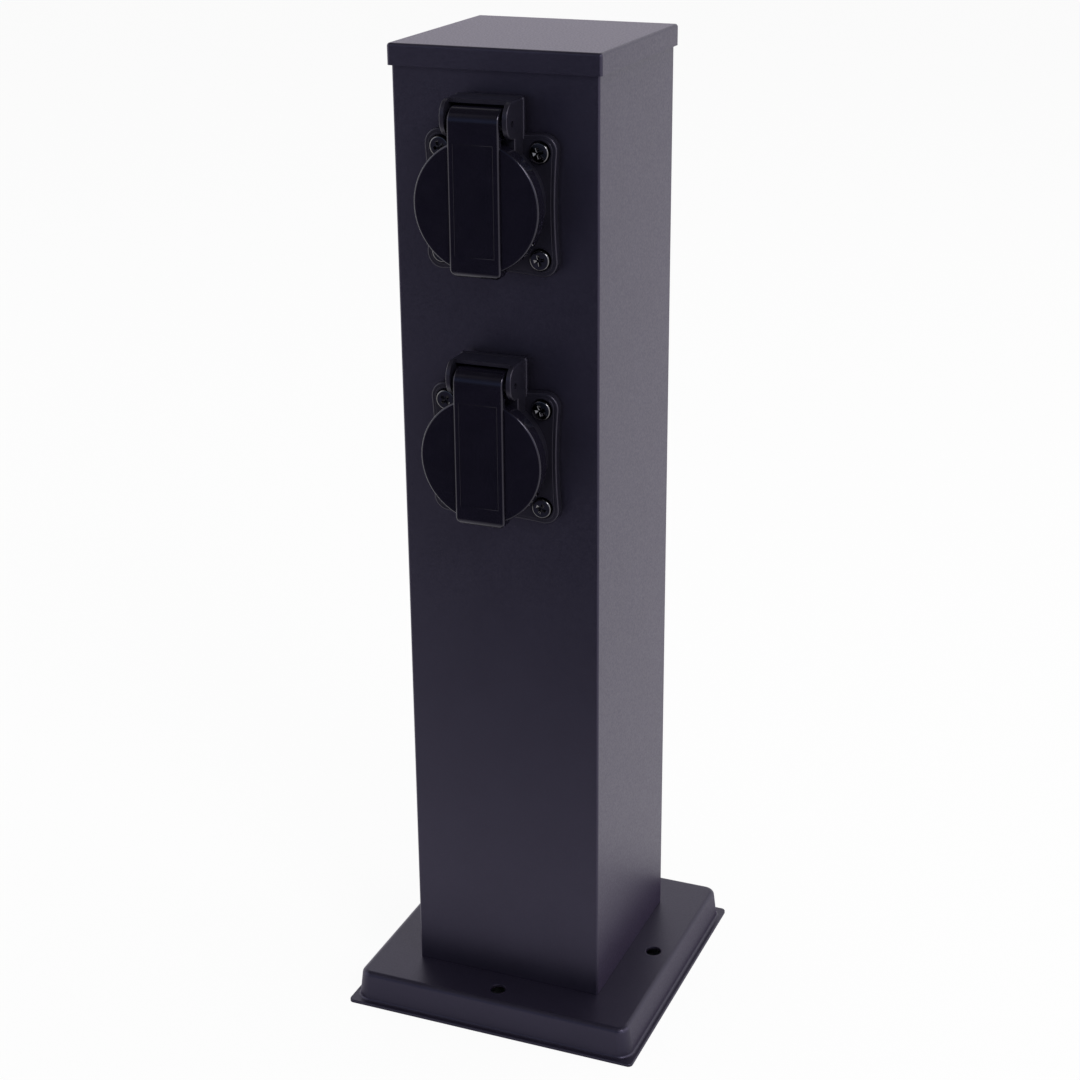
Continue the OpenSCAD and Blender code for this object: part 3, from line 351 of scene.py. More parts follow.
def block(size, middle):
    bm = bmesh.new()
    bmesh.ops.create_cube(bm, size=1, matrix=Matrix.Translation(middle) @ Matrix.Diagonal((*size, 1)))
    return bm


# joins two closed shells, or cuts one with the other
def combined(body, tool, how):
    shells = []
    for bm in (body, tool):
        bmesh.ops.recalc_face_normals(bm, faces=bm.faces)
        mesh = bpy.data.meshes.new("shell")
        bm.to_mesh(mesh)
        bm.free()
        shells.append(bpy.data.objects.new("shell", mesh))
        scene.collection.objects.link(shells[-1])
    cut = shells[0].modifiers.new("cut", "BOOLEAN")
    cut.operation = how
    cut.solver = "EXACT"
    cut.object = shells[1]
    solved = shells[0].evaluated_get(bpy.context.evaluated_depsgraph_get())
    mesh = bpy.data.meshes.new_from_object(solved)
    made = bmesh.new()
    made.from_mesh(mesh)
    for used in [mesh] + [s.data for s in shells]:
        bpy.data.meshes.remove(used)
    bmesh.ops.remove_doubles(made, verts=made.verts, dist=weld)
    return made


# several shells in one
def gathered(shells):
    bm = bmesh.new()
    for shell in shells:
        mesh = bpy.data.meshes.new("shell")
        shell.to_mesh(mesh)
        shell.free()
        bm.from_mesh(mesh)
        bpy.data.meshes.remove(mesh)
    return bm


def makePiece(name, bm, place, finish, body, stands):
    bm = bm.copy()
    bmesh.ops.transform(bm, matrix=place, verts=bm.verts)
    mesh = bpy.data.meshes.new(name)
    bm.to_mesh(mesh)
    bm.free()
    mesh.shade_smooth()
    mesh.set_sharp_from_angle(angle=smoothTo)
    mesh.materials.append(finish)
    piece = bpy.data.objects.new(name, mesh)
    scene.collection.objects.link(piece)
    even = piece.modifiers.new("even", "WEIGHTED_NORMAL")
    even.keep_sharp = True
    if body:
        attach(piece, body)
    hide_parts(*stands)
    return piece


# Post, cap and foot

postSet = {"half": 40.5, "r": 1, "wall": 1.5, "insideR": 0.2, "edge": 0.2, "low": 14, "top": 399,
           "cutout": 22, "sockets": (346, 250), "screwAt": 19.5, "drop": 0.8, "screwHole": 2.15,
           "capHoleX": 20, "capHoleZ": 395.5, "capHole": 1.6}


def makePost(s):
    bm = bmesh.new()
    outside = roundedSquare(bm, s["half"], s["r"], s["low"])
    extruded(bm, outside, (0, 0, s["top"] - s["low"]))
    rounded(bm, lambda e: level(e, s["low"]) or level(e, s["top"]), s["edge"], 2)
    inside = bmesh.new()
    face = roundedSquare(inside, s["half"] - s["wall"], s["insideR"], s["low"] - past, 4)
    extruded(inside, face, (0, 0, s["top"] - s["low"] + 2 * past))
    bm = combined(bm, inside, "DIFFERENCE")
    holes = [roundBar(s["cutout"], through, Matrix.Translation((0, -s["half"], z)) @ ahead, steps=96)
             for z in s["sockets"]]
    at = s["screwAt"]
    for z in s["sockets"]:
        for x, y in corners:
            place = Matrix.Translation((x * at, -s["half"], z + y * at - s["drop"])) @ ahead
            holes.append(roundBar(s["screwHole"], through, place, steps=24))
    for x in (-s["capHoleX"], s["capHoleX"]):
        place = Matrix.Translation((x, s["half"], s["capHoleZ"])) @ ahead
        holes.append(roundBar(s["capHole"], through, place, steps=24))
    bm = combined(bm, gathered(holes), "DIFFERENCE")
    makePiece("post_tube_coated", bm, standing, coat, "post", ["post_tube"])


makePost(postSet)

capSet = {"half": 41.8, "r": 1.3, "t": 1, "low": 392, "top": 400, "bend": 1.2, "inside": 0.2, "rim": 0.25}


def makeCap(s):
    bm = bmesh.new()
    extruded(bm, roundedSquare(bm, s["half"], s["r"], s["low"]), (0, 0, s["top"] - s["low"]))
    rounded(bm, lambda e: level(e, s["top"]), s["bend"], 6)
    hollow = bmesh.new()
    face = roundedSquare(hollow, s["half"] - s["t"], s["r"] - s["t"], s["low"] - past)
    extruded(hollow, face, (0, 0, s["top"] - s["t"] - s["low"] + past))
    rounded(hollow, lambda e: level(e, s["top"] - s["t"]), s["inside"], 2)
    bm = combined(bm, hollow, "DIFFERENCE")
    rounded(bm, lambda e: level(e, s["low"]), s["rim"], 2)
    for x in (-postSet["capHoleX"], postSet["capHoleX"]):
        place = Matrix.Translation((x, s["half"], postSet["capHoleZ"])) @ ahead
        bm = combined(bm, roundBar(postSet["capHole"], through, place, steps=24), "DIFFERENCE")
    makePiece("top_cap_coated", bm, standing, coat, "post", ["top_cap"])


makeCap(capSet)

footSet = {"lip": 64, "lipR": 2, "lipEdge": 0.3, "t": 1.25, "corner": 55.53, "wallLow": 61.93,
           "wallTop": 60.27, "low": 0.5, "top": 14, "bend": 1.99, "hollow": 1.65, "underFrom": -1,
           "underLow": 60.85, "underTop": 59.16, "underBend": 0.88, "underHollow": 1.77, "holeAt": 51,
           "hole": 3.25, "holeEdge": 0.3, "inlet": 11}


# a square block with rounded corners whose sides lean in towards the top
def leaning(corner, low, high, fromZ, toZ):
    bm = bmesh.new()
    face = roundedSquare(bm, low, low - corner, fromZ)
    for v in extruded(bm, face, (0, 0, toZ - fromZ))[0].verts:
        out = Vector((max(abs(v.co.x) - corner, 0), max(abs(v.co.y) - corner, 0)))
        out *= (low - high) / out.length
        v.co.x -= math.copysign(out.x, v.co.x)
        v.co.y -= math.copysign(out.y, v.co.y)
    return bm


def makeFoot(s):
    bm = bmesh.new()
    extruded(bm, roundedSquare(bm, s["lip"], s["lipR"], 0), (0, 0, s["t"]))
    rounded(bm, lambda e: level(e, s["t"]), s["lipEdge"], 3)
    upper = leaning(s["corner"], s["wallLow"], s["wallTop"], s["low"], s["top"])
    rounded(upper, lambda e: level(e, s["top"]), s["bend"], 8)
    bm = combined(bm, upper, "UNION")
    rounded(bm, lambda e: level(e, s["t"]) and sharp(e), s["hollow"], 8)
    under = leaning(s["corner"], s["underLow"], s["underTop"], s["underFrom"], s["top"] - s["t"])
    rounded(under, lambda e: level(e, s["top"] - s["t"]), s["underBend"], 4)
    bm = combined(bm, under, "DIFFERENCE")
    rounded(bm, lambda e: level(e, 0) and sharp(e)
            and all(max(abs(v.co.x), abs(v.co.y)) < s["wallLow"] for v in e.verts), s["underHollow"], 5)
    for x, y in ((1, 0), (0, 1), (-1, 0), (0, -1)):
        place = Matrix.Translation((s["holeAt"] * x, s["holeAt"] * y, s["top"]))
        bm = combined(bm, roundBar(s["hole"], through, place, steps=48), "DIFFERENCE")
    inlet = roundBar(s["inlet"], through, Matrix.Translation((0, 0, s["top"])), steps=64)
    bm = combined(bm, inlet, "DIFFERENCE")
    rounded(bm, lambda e: level(e, s["top"]) and sharp(e), s["holeEdge"], 2)
    makePiece("base_plate_coated", bm, standing, coat, "post", ["base_plate"])


makeFoot(footSet)
print("post, cap and foot made")


# Rubber grommet in the foot

grommetSet = {"bore": 4.5, "rim": 14, "neck": 11, "low": 10.25, "sheetLow": 12.75, "sheetTop": 14,
              "top": 16.5, "edge": 0.9}


def makeGrommet(s):
    bm = bmesh.new()
    turned(bm, [(s["bore"], s["low"]), (s["rim"], s["low"]), (s["rim"], s["sheetLow"]),
                (s["neck"], s["sheetLow"]), (s["neck"], s["sheetTop"]), (s["rim"], s["sheetTop"]),
                (s["rim"], s["top"]), (s["bore"], s["top"])], steps=64, closed=True)
    rounded(bm, lambda e: (level(e, s["low"]) or level(e, s["top"])) and sharp(e), s["edge"], 4)
    makePiece("cable_grommet_rubber", bm, standing, rubber, "post", ["cable_grommet"])


makeGrommet(grommetSet)


# Socket, modelled on its back: x to the right, y up, z out of the post

def onPost(middle):
    return Matrix.Translation((0, -postSet["half"] * mm, middle * mm)) @ ahead @ standing


flangeSet = {"half": 26, "r": 6, "waist": 0.9, "back": 1.25, "front": 4.75, "screwAt": postSet["screwAt"],
             "drop": postSet["drop"], "hole": postSet["screwHole"], "seat": 4.1, "seatZ": 3.55,
             "lead": 0.25, "edge": 0.65}
padSet = {"half": 24.4, "r": 4.4, "waist": 0.7, "rise": 0.3, "edge": 0.15}
wellSet = {"collar": 22, "collarLow": 2.25, "collarFront": 14.5, "edge": 0.5, "lead": 0.5,
           "barrel": 21.35, "back": -7, "floor": -3, "r": 19.75, "pinX": 9.5, "pinHole": 2.75, "pinDeep": 20,
           "ribW": 5.2, "ribH": 1.6, "ribFront": 11.5, "ribEdge": 0.4, "slotW": 5.4, "slotY": 20.05,
           "slotT": 1.2, "slotFront": 10.5}
towerSet = {"back": 3.25, "ledge": 7.25, "column": 12, "low": 18, "roundZ": 13.1, "roundY": 31.8,
            "earLow": 30.4, "earFrom": 3.75, "earTo": 86.25, "r": 6.1, "half": 13.1, "inside": 11.3,
            "wallFront": 5.25, "ledgeTop": 27, "hoodLow": 36.4, "hoodFront": 14, "pinZ": 14.4, "pinY": 30,
            "pinHole": 1.22, "edge": 0.45, "plateHalf": 13.5, "plateFront": 4.6, "plateTop": 38.1,
            "shelf": 24.2, "corner": 1.2}
hingeAxis = Matrix.Translation((0, towerSet["pinY"], towerSet["pinZ"])) @ crossways


# the flange's outline, its sides drawn in a little
def waistedSquare(bm, half, r, waist, z):
    faces = roundedSquare(bm, half, r, z, 8)
    run = half - r
    sides = sorted(faces[0].edges, key=lambda e: -e.calc_length())[:4]
    bmesh.ops.subdivide_edges(bm, edges=sides, cuts=15)
    for v in bm.verts:
        for axis in (0, 1):
            across, along = v.co[axis], v.co[1 - axis]
            if abs(abs(across) - half) < close and abs(along) <= run:
                v.co[axis] -= math.copysign(waist * (1 - (along / run) ** 2), across)
    return list(bm.faces)


# the flange has a rounded border round a slightly raised middle
def makeFlange(s, p):
    bm = bmesh.new()
    border = s["front"] - p["rise"]
    extruded(bm, waistedSquare(bm, s["half"], s["r"], s["waist"], s["back"]), (0, 0, border - s["back"]))
    rounded(bm, lambda e: level(e, border), s["edge"], 6)
    pad = bmesh.new()
    extruded(pad, waistedSquare(pad, p["half"], p["r"], p["waist"], border - past), (0, 0, p["rise"] + past))
    rounded(pad, lambda e: level(e, s["front"]), p["edge"], 3)
    bm = combined(bm, pad, "UNION")
    bmesh.ops.translate(bm, vec=(0, -s["drop"], 0), verts=bm.verts)
    return bm


def makeTower(s):
    top, c = s["roundY"] + s["r"], s["corner"]
    far = 30    # clear of the whole tower
    bm = bmesh.new()
    ear = (arc(s["roundZ"], s["earLow"], s["r"], -s["earTo"], -s["earFrom"], steps=11)
           + arc(s["roundZ"], s["roundY"], s["r"], s["earFrom"], s["earTo"], steps=11))
    drawnAcross(bm, [(s["back"], s["low"]), (s["column"], s["low"]), (s["column"], s["earLow"] - s["r"])]
                + ear + [(s["roundZ"], top), (s["back"], top)], -s["half"], s["half"])
    rounded(bm, lambda e: sharp(e) and sameX(e), s["edge"], 4)
    for side in (-1, 1):    # the hood's two upper corners
        chip = block((c + past, c + past, 2 * far),
                     (side * (s["half"] + (past - c) / 2), top + (past - c) / 2, 0))
        curve = roundBar(c, 3 * far, Matrix.Translation((side * (s["half"] - c), top - c, 0)))
        bm = combined(bm, combined(chip, curve, "DIFFERENCE"), "DIFFERENCE")
    plate = block((2 * s["plateHalf"], s["plateTop"] - s["low"], s["plateFront"] - s["back"]),
                  (0, (s["plateTop"] + s["low"]) / 2, (s["plateFront"] + s["back"]) / 2))
    rounded(plate, lambda e: all(v.co.y > s["plateTop"] - close for v in e.verts) and sameX(e), c, 6)
    rounded(plate, lambda e: level(e, s["plateFront"]), s["edge"], 4)
    bm = combined(bm, plate, "UNION")
    room = bmesh.new()
    drawnAcross(room, [(s["wallFront"], s["ledgeTop"]), (s["wallFront"], s["hoodLow"]),
                       (s["hoodFront"], s["hoodLow"]), (s["hoodFront"], 2 * far), (far, 2 * far),
                       (far, s["shelf"]), (s["ledge"], s["shelf"]), (s["ledge"], s["ledgeTop"])],
                -s["inside"], s["inside"])
    bm = combined(bm, room, "DIFFERENCE")
    return combined(bm, roundBar(s["pinHole"], 2 * far, hingeAxis), "DIFFERENCE")


def makeSocket():
    f, w = flangeSet, wellSet
    bm = makeFlange(f, padSet)
    front = w["collarFront"]
    collar = bmesh.new()
    turned(collar, [(0, w["back"]), (w["barrel"], w["back"]), (w["barrel"], w["collarLow"]),
                    (w["collar"], w["collarLow"]), (w["collar"], front), (0, front)], steps=128)
    rounded(collar, lambda e: level(e, front) and sharp(e), w["edge"], 4)
    bm = combined(bm, collar, "UNION")
    bm = combined(bm, makeTower(towerSet), "UNION")
    well = bmesh.new()
    mouth = w["r"] + w["lead"]
    turned(well, [(0, w["floor"]), (w["r"], w["floor"]), (w["r"], front - w["lead"]), (mouth, front),
                  (mouth, front + 2 * past), (0, front + 2 * past)], steps=128)
    for x in (-1, 1):    # the guide ribs are left standing
        rib = block((w["ribH"] + past, w["ribW"], w["ribFront"] - w["floor"] + past),
                    (x * (w["r"] + (past - w["ribH"]) / 2), 0, (w["ribFront"] + w["floor"] - past) / 2))
        rounded(rib, sharp, w["ribEdge"], 3)
        well = combined(well, rib, "DIFFERENCE")
    bm = combined(bm, well, "DIFFERENCE")
    for x in (-w["pinX"], w["pinX"]):
        hole = roundBar(w["pinHole"], w["pinDeep"], Matrix.Translation((x, 0, w["floor"])))
        bm = combined(bm, hole, "DIFFERENCE")
    deep = w["slotFront"] - w["back"] + 2 * past
    for y in (-w["slotY"], w["slotY"]):
        slot = block((w["slotW"], w["slotT"], deep), (0, y, w["slotFront"] - deep / 2))
        bm = combined(bm, slot, "DIFFERENCE")
    rim, over = f["seat"] + f["lead"], f["front"] + 2 * past
    for x, y in corners:
        seat = bmesh.new()
        turned(seat, [(0, 0), (f["hole"], 0), (f["hole"], f["seatZ"]), (f["seat"], f["seatZ"]),
                      (f["seat"], f["front"] - f["lead"]), (rim, f["front"]), (rim, over), (0, over)],
               steps=48)
        bmesh.ops.translate(seat, vec=(x * f["screwAt"], y * f["screwAt"] - f["drop"], 0), verts=seat.verts)
        bm = combined(bm, seat, "DIFFERENCE")
    return bm


gasketSet = {"half": 25.7, "r": 5.7, "t": 1.25, "hole": 22.15, "edge": 0.3}


def makeGasket(s, f):
    bm = bmesh.new()
    extruded(bm, waistedSquare(bm, s["half"], s["r"], f["waist"], 0), (0, 0, s["t"]))
    rounded(bm, sharp, s["edge"], 3)
    bmesh.ops.translate(bm, vec=(0, -f["drop"], 0), verts=bm.verts)
    bm = combined(bm, roundBar(s["hole"], through, Matrix.Identity(4), steps=96), "DIFFERENCE")
    for x, y in corners:
        place = Matrix.Translation((x * f["screwAt"], y * f["screwAt"] - f["drop"], 0))
        bm = combined(bm, roundBar(f["hole"], through, place, steps=24), "DIFFERENCE")
    return bm


# Lid with its strap, lift tab and knuckle

lidShape = {"r": 24.4, "bore": 23, "back": 12.5, "inside": 16, "front": 18.4, "edge": 0.8, "rim": 0.3}
strapSet = {"half": 10, "front": 19.9, "root": 17.4, "low": -25.8, "tabTop": -19.8, "corner": 3,
            "edge": 0.9, "knuckle": 5.5, "knuckleTurn": 270, "hub": 3, "hubHalf": 11.1, "bore": 1.28}
panelSet = {"half": 7.65, "low": -17.7, "top": 22.6, "deep": 0.3, "edge": 0.18}
springRoom = {"half": 5, "r": 3.9, "reach": 8, "from": 105, "to": 290}


def makeLid():
    d, s, p, g = lidShape, strapSet, panelSet, springRoom
    bm = bmesh.new()
    turned(bm, [(0, d["front"]), (d["r"], d["front"]), (d["r"], d["back"]), (d["bore"], d["back"]),
                (d["bore"], d["inside"]), (0, d["inside"])], steps=144)
    rounded(bm, lambda e: level(e, d["front"]) and sharp(e), d["edge"], 6)
    rounded(bm, lambda e: level(e, d["back"]) and sharp(e), d["rim"], 3)
    strap = bmesh.new()
    z, y, k = towerSet["pinZ"], towerSet["pinY"], s["knuckle"]
    hook = arc(z, y, k, 0, s["knuckleTurn"], steps=54)
    drawnAcross(strap, [(d["back"], s["low"]), (s["front"], s["low"])] + hook
                + [(s["root"], y - k), (s["root"], s["tabTop"]), (d["back"], s["tabTop"])],
                -s["half"], s["half"])
    rounded(strap, lambda e: all(abs(abs(v.co.x) - s["half"]) < close and abs(v.co.y - s["low"]) < close
                                 for v in e.verts), s["corner"], 8)
    rounded(strap, lambda e: sharp(e) and all(v.co.z > d["front"] or v.co.y > d["r"] or v.co.y < s["tabTop"]
                                              for v in e.verts), s["edge"], 5)
    bm = combined(bm, strap, "UNION")
    bm = combined(bm, roundBar(s["hub"], 2 * s["hubHalf"], hingeAxis), "UNION")
    bm = combined(bm, roundBar(s["bore"], 4 * s["half"], hingeAxis), "DIFFERENCE")
    bm = combined(bm, roundBar(g["r"], 2 * g["half"], hingeAxis, steps=64), "DIFFERENCE")
    wedge = bmesh.new()
    drawnAcross(wedge, [(z, y)] + arc(z, y, g["reach"], g["from"], g["to"], steps=24), -g["half"], g["half"])
    bm = combined(bm, wedge, "DIFFERENCE")
    panel = block((2 * p["half"], p["top"] - p["low"], 2 * p["deep"]),
                  (0, (p["top"] + p["low"]) / 2, s["front"]))
    bm = combined(bm, panel, "DIFFERENCE")
    rounded(bm, lambda e: level(e, s["front"]) and sharp(e)
            and all(abs(v.co.x) < p["half"] + close for v in e.verts), p["edge"], 3)
    return bm


sealSet = {"r": 22.5, "inner": 19.7, "back": 14.6, "front": 16, "edge": 0.5}


def makeSeal(s):
    bm = bmesh.new()
    turned(bm, [(s["inner"], s["back"]), (s["r"], s["back"]), (s["r"], s["front"]), (s["inner"], s["front"])],
           closed=True)
    rounded(bm, lambda e: level(e, s["back"]) and sharp(e), s["edge"], 4)
    return bm


# Screws with a cross recess, and the hinge pin

# a recess's blade, in shares of the recess's reach and of the head's height; it narrows towards its foot
bladeSet = {"thick": 0.62, "high": 0.3, "middle": 0.85, "footLong": 0.55, "footThick": 0.1}
tipEdge = 0.3


def crossScrew(s, turn):
    b, head, shank, top, tip = bladeSet, s["head"], s["shank"], s["height"], -s["length"]
    bm = bmesh.new()
    turned(bm, [(0, tip), (shank, tip), (shank, 0), (head, 0), (head, top), (0, top)], steps=48)
    rounded(bm, lambda e: level(e, top) and sharp(e), s["dome"], 7)
    rounded(bm, lambda e: level(e, tip) and sharp(e), tipEdge, 2)
    for k in (0, 90):
        blade = block((2 * s["recess"], b["thick"] * s["recess"], b["high"] * top), (0, 0, b["middle"] * top))
        for v in blade.verts:
            if v.co.z < b["middle"] * top:
                v.co.x *= b["footLong"]
                v.co.y *= b["footThick"]
        spun = Matrix.Rotation(math.radians(turn + k), 3, "Z")
        bmesh.ops.rotate(blade, cent=(0, 0, 0), matrix=spun, verts=blade.verts)
        bm = combined(bm, blade, "DIFFERENCE")
    return bm


flangeScrewSet = {"head": 3.8, "height": 2.6, "dome": 0.55, "shank": 2, "length": 12, "recess": 2.1}
# turns of the recesses in degrees, from the upper left screw round to the lower left
screwTurns = {"upper": (24, 16, 12, 39), "lower": (48, 17, 66, 31)}


def makeFlangeScrews(turns):
    screws = []
    at = flangeSet["screwAt"]
    for (x, y), turn in zip(((-at, at), (at, at), (at, -at), (-at, -at)), turns):
        screw = crossScrew(flangeScrewSet, turn)
        bmesh.ops.translate(screw, vec=(x, y - flangeSet["drop"], flangeSet["seatZ"]), verts=screw.verts)
        screws.append(screw)
    return gathered(screws)


pinShape = {"r": 1.2, "half": 12.3, "edge": 0.25}


def makePin(s):
    bm = roundBar(s["r"], 2 * s["half"], hingeAxis)
    rounded(bm, sharp, s["edge"], 3)
    return bm


# Closing spring: a coil drawn by spin, with a leg at each end

coilSet = {"wire": 0.4, "sides": 12, "r": 2.5, "pitch": 1.4, "from": 270, "to": 1825, "step": 15,
           "footZ": 5.35, "leg": 4.2}


def makeSpring(s):
    bm = bmesh.new()
    sweep = s["to"] - s["from"]
    run = s["pitch"] * sweep / 360
    steps = sweep // s["step"]
    y, z = towerSet["pinY"], towerSet["pinZ"]
    ring = bmesh.ops.create_circle(bm, segments=s["sides"], radius=s["wire"],
                                   matrix=Matrix.Translation((-run / 2, y - s["r"], z)))["verts"]
    start = list({e for v in ring for e in v.link_edges})
    made = bmesh.ops.spin(bm, geom=ring + start, cent=(0, y, z), axis=(-1, 0, 0), dvec=(run / steps, 0, 0),
                          angle=math.radians(sweep), steps=steps)["geom_last"]
    end = [g for g in made if isinstance(g, bmesh.types.BMEdge)]
    tip = math.radians(s["to"])
    away = (0, s["leg"] * math.cos(tip), -s["leg"] * math.sin(tip))
    for edges, way in ((start, (0, 0, s["footZ"] - z)), (end, away)):
        leg = bmesh.ops.extrude_edge_only(bm, edges=edges)["geom"]
        bmesh.ops.translate(bm, vec=way, verts=[g for g in leg if isinstance(g, bmesh.types.BMVert)])
        bmesh.ops.contextual_create(bm, geom=[g for g in leg if isinstance(g, bmesh.types.BMEdge)])
    bmesh.ops.recalc_face_normals(bm, faces=bm.faces)
    return bm, run / 2


socketShell = makeSocket()
gasketShell = makeGasket(gasketSet, flangeSet)
lidShell = makeLid()
sealShell = makeSeal(sealSet)
pinShell = makePin(pinShape)
springShell, springHalf = makeSpring(coilSet)
for which, middle in zip(("upper", "lower"), postSet["sockets"]):
    place = onPost(middle)
    lidBody = which + "_lid_body"
    makePiece(which + "_socket_moulding", socketShell, place, socketPlastic, "post",
              [which + "_socket_body"])
    makePiece(which + "_gasket_rubber", gasketShell, place, rubber, "post", [which + "_gasket"])
    makePiece(which + "_lid_moulding", lidShell, place, lidPlastic, lidBody, [which + "_lid"])
    makePiece(which + "_seal_ring", sealShell, place, rubber, lidBody, [which + "_lid_seal"])
    makePiece(which + "_flange_screw_set", makeFlangeScrews(screwTurns[which]), place, blackScrew, "post",
              [which + "_flange_screws"])
    makePiece(which + "_pin_steel", pinShell, place, pinSteel, "post", [which + "_hinge_pin"])
    spring = makePiece(which + "_closing_spring", springShell, place, springSteel, None,
                       [which + "_lid_spring"])
    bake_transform(spring)
print("sockets and lids made")


# Cap screws at the back

capScrewSet = {"head": 2.61, "height": 1.74, "dome": 1, "shank": 1.45, "length": 8, "recess": 1.3,
               "turns": (20, 64)}


def makeCapScrews(s):
    screws = []
    for x, turn in zip((-postSet["capHoleX"], postSet["capHoleX"]), s["turns"]):
        screw = crossScrew(s, turn)
        place = Matrix.Translation((x, capSet["half"], postSet["capHoleZ"])) @ backwards
        bmesh.ops.transform(screw, matrix=place, verts=screw.verts)
        screws.append(screw)
    makePiece("cap_screw_pair", gathered(screws), standing, blackScrew, "post", ["cap_screws"])


makeCapScrews(capScrewSet)


# Finishes of the solids that keep their shape

kept = {"foot_frame": zinc, "foot_screws": zinc, "terminal_bracket": zinc, "bracket_screws": zinc,
        "terminal_block": blockPlastic, "terminal_sleeves": brass, "sleeve_screws": zinc,
        "block_screws": zinc, "earth_stud": zinc, "earth_lug": tin, "earth_nut": zinc, **wires}
for which in ("upper", "lower"):
    kept.update({which + "_carrier": carrierPlastic, which + "_line_contacts": brass,
                 which + "_earth_spring": brass, which + "_clamp_screws": zinc,
                 which + "_carrier_screws": zinc, which + "_flange_nuts": zinc})
for name, finish in kept.items():
    nodes[name].data.materials.clear()
    nodes[name].data.materials.append(finish)
print("kept solids finished:", len(kept))


# Floor, world and lamps

sideSet = {"from": 0.33, "to": 0.435, "lean": -0.1}


# how far a place or direction is to the side, a little more so on the right
def besides(tree, place, s):
    across, along = (reckon(tree, "ABSOLUTE", place[k], 0) for k in (0, 1))
    leant = reckon(tree, "SUBTRACT", across, reckon(tree, "MULTIPLY", place[0], s["lean"]))
    part = reckon(tree, "DIVIDE", leant, reckon(tree, "ADD", across, along))
    return spread(tree, part, 0, 1, s["from"], s["to"])


# what the camera sees, and what surfaces mirror or let through
def rayKinds(tree):
    rays = tree.nodes.new("ShaderNodeLightPath").outputs
    mirrored = reckon(tree, "MAXIMUM", rays["Is Glossy Ray"], rays["Is Transmission Ray"])
    return rays["Is Camera Ray"], mirrored


# the paper is white to the eye; in reflections it shows a painted glow that fades towards a dim painted room
# in front, but not at the sides, and it is darker with painted shade close to the foot
floorSet = {"half": 6, "colour": (0.88, 0.88, 0.88), "rough": 0.9, "white": 0.93, "dim": (0.06, 0.06, 0.1),
            "dimAt": -0.45, "whiteAt": 0, "footHalf": 0.0605, "footShade": 0.35, "footShadeTo": 0.11}


def makeFloor(s):
    bm = bmesh.new()
    bmesh.ops.create_grid(bm, x_segments=1, y_segments=1, size=s["half"])
    mesh = bpy.data.meshes.new("floor")
    bm.to_mesh(mesh)
    bm.free()
    floor = bpy.data.objects.new("floor", mesh)
    scene.collection.objects.link(floor)
    paper = bpy.data.materials.new("paper")
    paper.use_nodes = True
    tree = paper.node_tree
    shader = tree.nodes["Principled BSDF"]
    shader.inputs["Base Color"].default_value = (*s["colour"], 1)
    shader.inputs["Roughness"].default_value = s["rough"]
    place = parted(tree, tree.nodes.new("ShaderNodeTexCoord").outputs["Object"])
    eye, mirrored = rayKinds(tree)
    across, along = (reckon(tree, "ABSOLUTE", place[k], 0) for k in (0, 1))
    reach = reckon(tree, "MAXIMUM", across, along)
    outside = reckon(tree, "GREATER_THAN", reach, s["footHalf"])
    glow = tree.nodes.new("ShaderNodeEmission")
    # painted reflection: the glow is white behind and at the sides, dim in front
    paintedFade = reckon(tree, "MAXIMUM", spread(tree, place[1], 0, 1, s["dimAt"], s["whiteAt"]),
                  besides(tree, place, sideSet))
    # painted shade: the reflected glow is darker close to the foot
    paintedFade = reckon(tree, "MULTIPLY", paintedFade, spread(tree, reach, s["footShade"], 1, s["footHalf"], s["footShadeTo"]))
    seen = reckon(tree, "MAXIMUM", eye, paintedFade)
    tree.links.new(between(tree, seen, s["dim"], (1, 1, 1)), glow.inputs["Color"])
    share = reckon(tree, "MAXIMUM", reckon(tree, "MULTIPLY", eye, s["white"]), mirrored)
    share = reckon(tree, "MULTIPLY", share, outside)
    tree.links.new(mixed(tree, share, shader.outputs[0], glow.outputs[0]),
                   tree.nodes["Material Output"].inputs["Surface"])
    mesh.materials.append(paper)


# white to the eye, behind the post and at its sides; dim overhead and in front, where a pale wall stands low
worldSet = {"soft": 0.45, "ahead": 0.06, "dimAt": -0.3, "whiteAt": 0.4, "above": 0.04, "lowZ": 0.55,
            "highZ": 0.85, "wall": 0.35, "wallColour": (0.35, 0.55, 1), "wallLow": (-0.05, 0.2),
            "wallTop": (0.3, 0.65)}


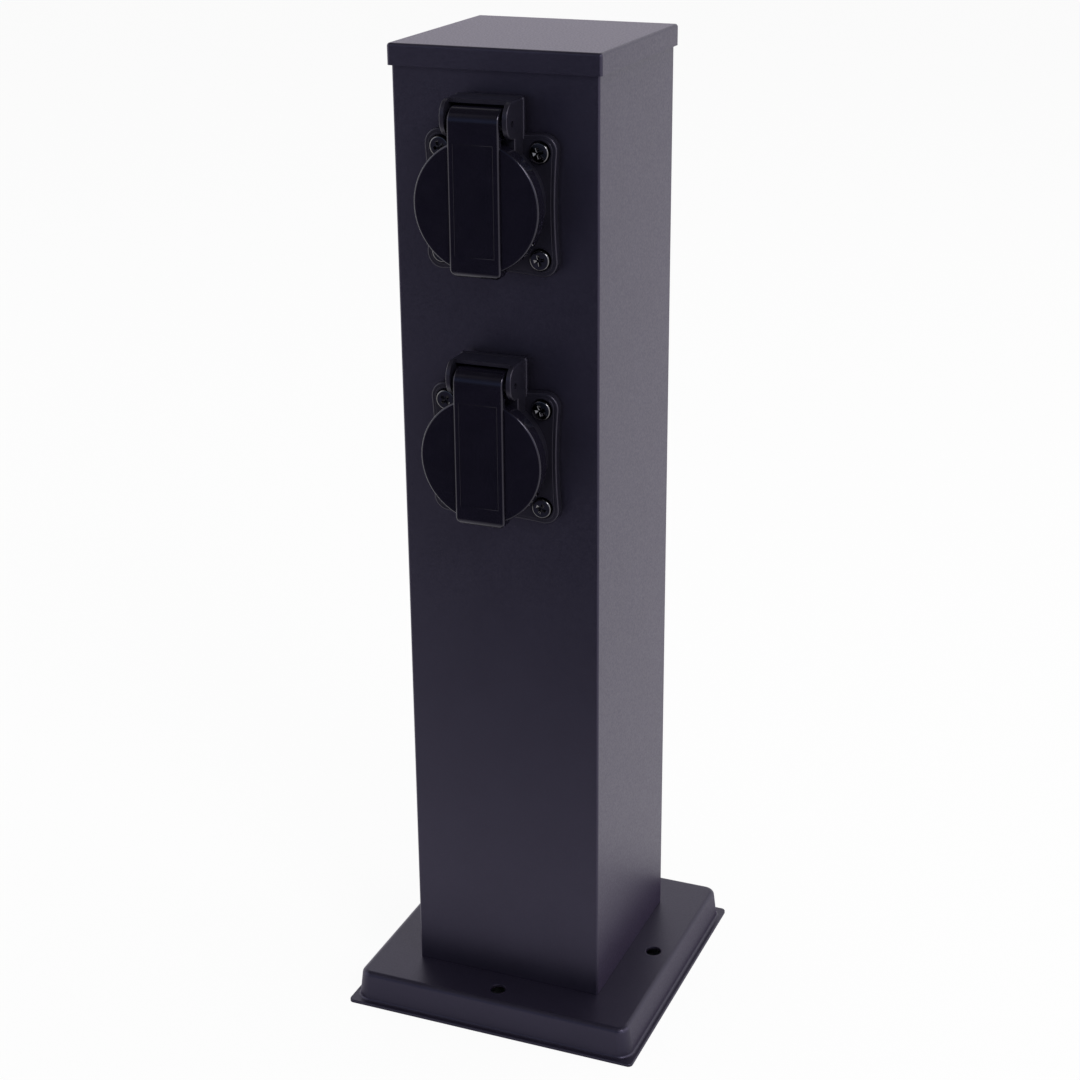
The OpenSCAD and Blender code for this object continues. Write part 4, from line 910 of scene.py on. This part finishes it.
def makeWorld(s):
    world = bpy.data.worlds.new("studio")
    world.use_nodes = True
    scene.world = world
    tree = world.node_tree
    soft = tree.nodes["Background"]
    white, room, wall = (tree.nodes.new("ShaderNodeBackground") for _ in range(3))
    for sky, colour, strength in ((soft, (1, 1, 1), s["soft"]), (white, (1, 1, 1), 1),
                                  (room, (1, 1, 1), 1), (wall, s["wallColour"], 1)):
        sky.inputs["Color"].default_value = (*colour, 1)
        sky.inputs["Strength"].default_value = strength
    way = parted(tree, tree.nodes.new("ShaderNodeTexCoord").outputs["Generated"])
    behind = spread(tree, way[1], s["ahead"], 1, s["dimAt"], s["whiteAt"])
    beside = besides(tree, way, sideSet)
    overhead = spread(tree, way[2], 1, s["above"], s["lowZ"], s["highZ"])
    around = reckon(tree, "MULTIPLY", reckon(tree, "MAXIMUM", behind, beside), overhead)
    tree.links.new(around, room.inputs["Strength"])
    front = spread(tree, way[1], s["wall"], 0, s["dimAt"], 0)
    up = reckon(tree, "MULTIPLY", spread(tree, way[2], 0, 1, *s["wallLow"]),
                spread(tree, way[2], 1, 0, *s["wallTop"]))
    tree.links.new(reckon(tree, "MULTIPLY", front, up), wall.inputs["Strength"])
    eye, mirrored = rayKinds(tree)
    both = tree.nodes.new("ShaderNodeAddShader")
    for socket, sky in zip(both.inputs, (room, wall)):
        tree.links.new(sky.outputs[0], socket)
    lit = mixed(tree, mirrored, soft.outputs[0], both.outputs[0])
    tree.links.new(mixed(tree, eye, lit, white.outputs[0]),
                   tree.nodes["World Output"].inputs["Surface"])


lampSet = ({"name": "sideLamp", "at": (1.7, 0.5, 1.2), "aim": (0, 0, 0.2), "size": 1.2, "power": 6},
           {"name": "topLamp", "at": (0.1, 0.4, 2.1), "aim": (0, 0, 0.3), "size": 2.2, "power": 16,
            "mirrored": False},
           {"name": "keyLamp", "at": (1.05, -0.82, 1.32), "aim": (0, 0, 0.3), "size": 0.5, "power": 9})


def makeLamp(s):
    lamp = bpy.data.lights.new(s["name"], "AREA")
    lamp.shape = "SQUARE"
    lamp.size = s["size"]
    lamp.energy = s["power"]
    holder = bpy.data.objects.new(s["name"], lamp)
    holder.location = s["at"]
    holder.rotation_euler = (Vector(s["aim"]) - Vector(s["at"])).to_track_quat("-Z", "Y").to_euler()
    holder.visible_glossy = s.get("mirrored", True)
    scene.collection.objects.link(holder)


makeFloor(floorSet)
makeWorld(worldSet)
for lampRow in lampSet:
    makeLamp(lampRow)
print("floor, world and lamps made")
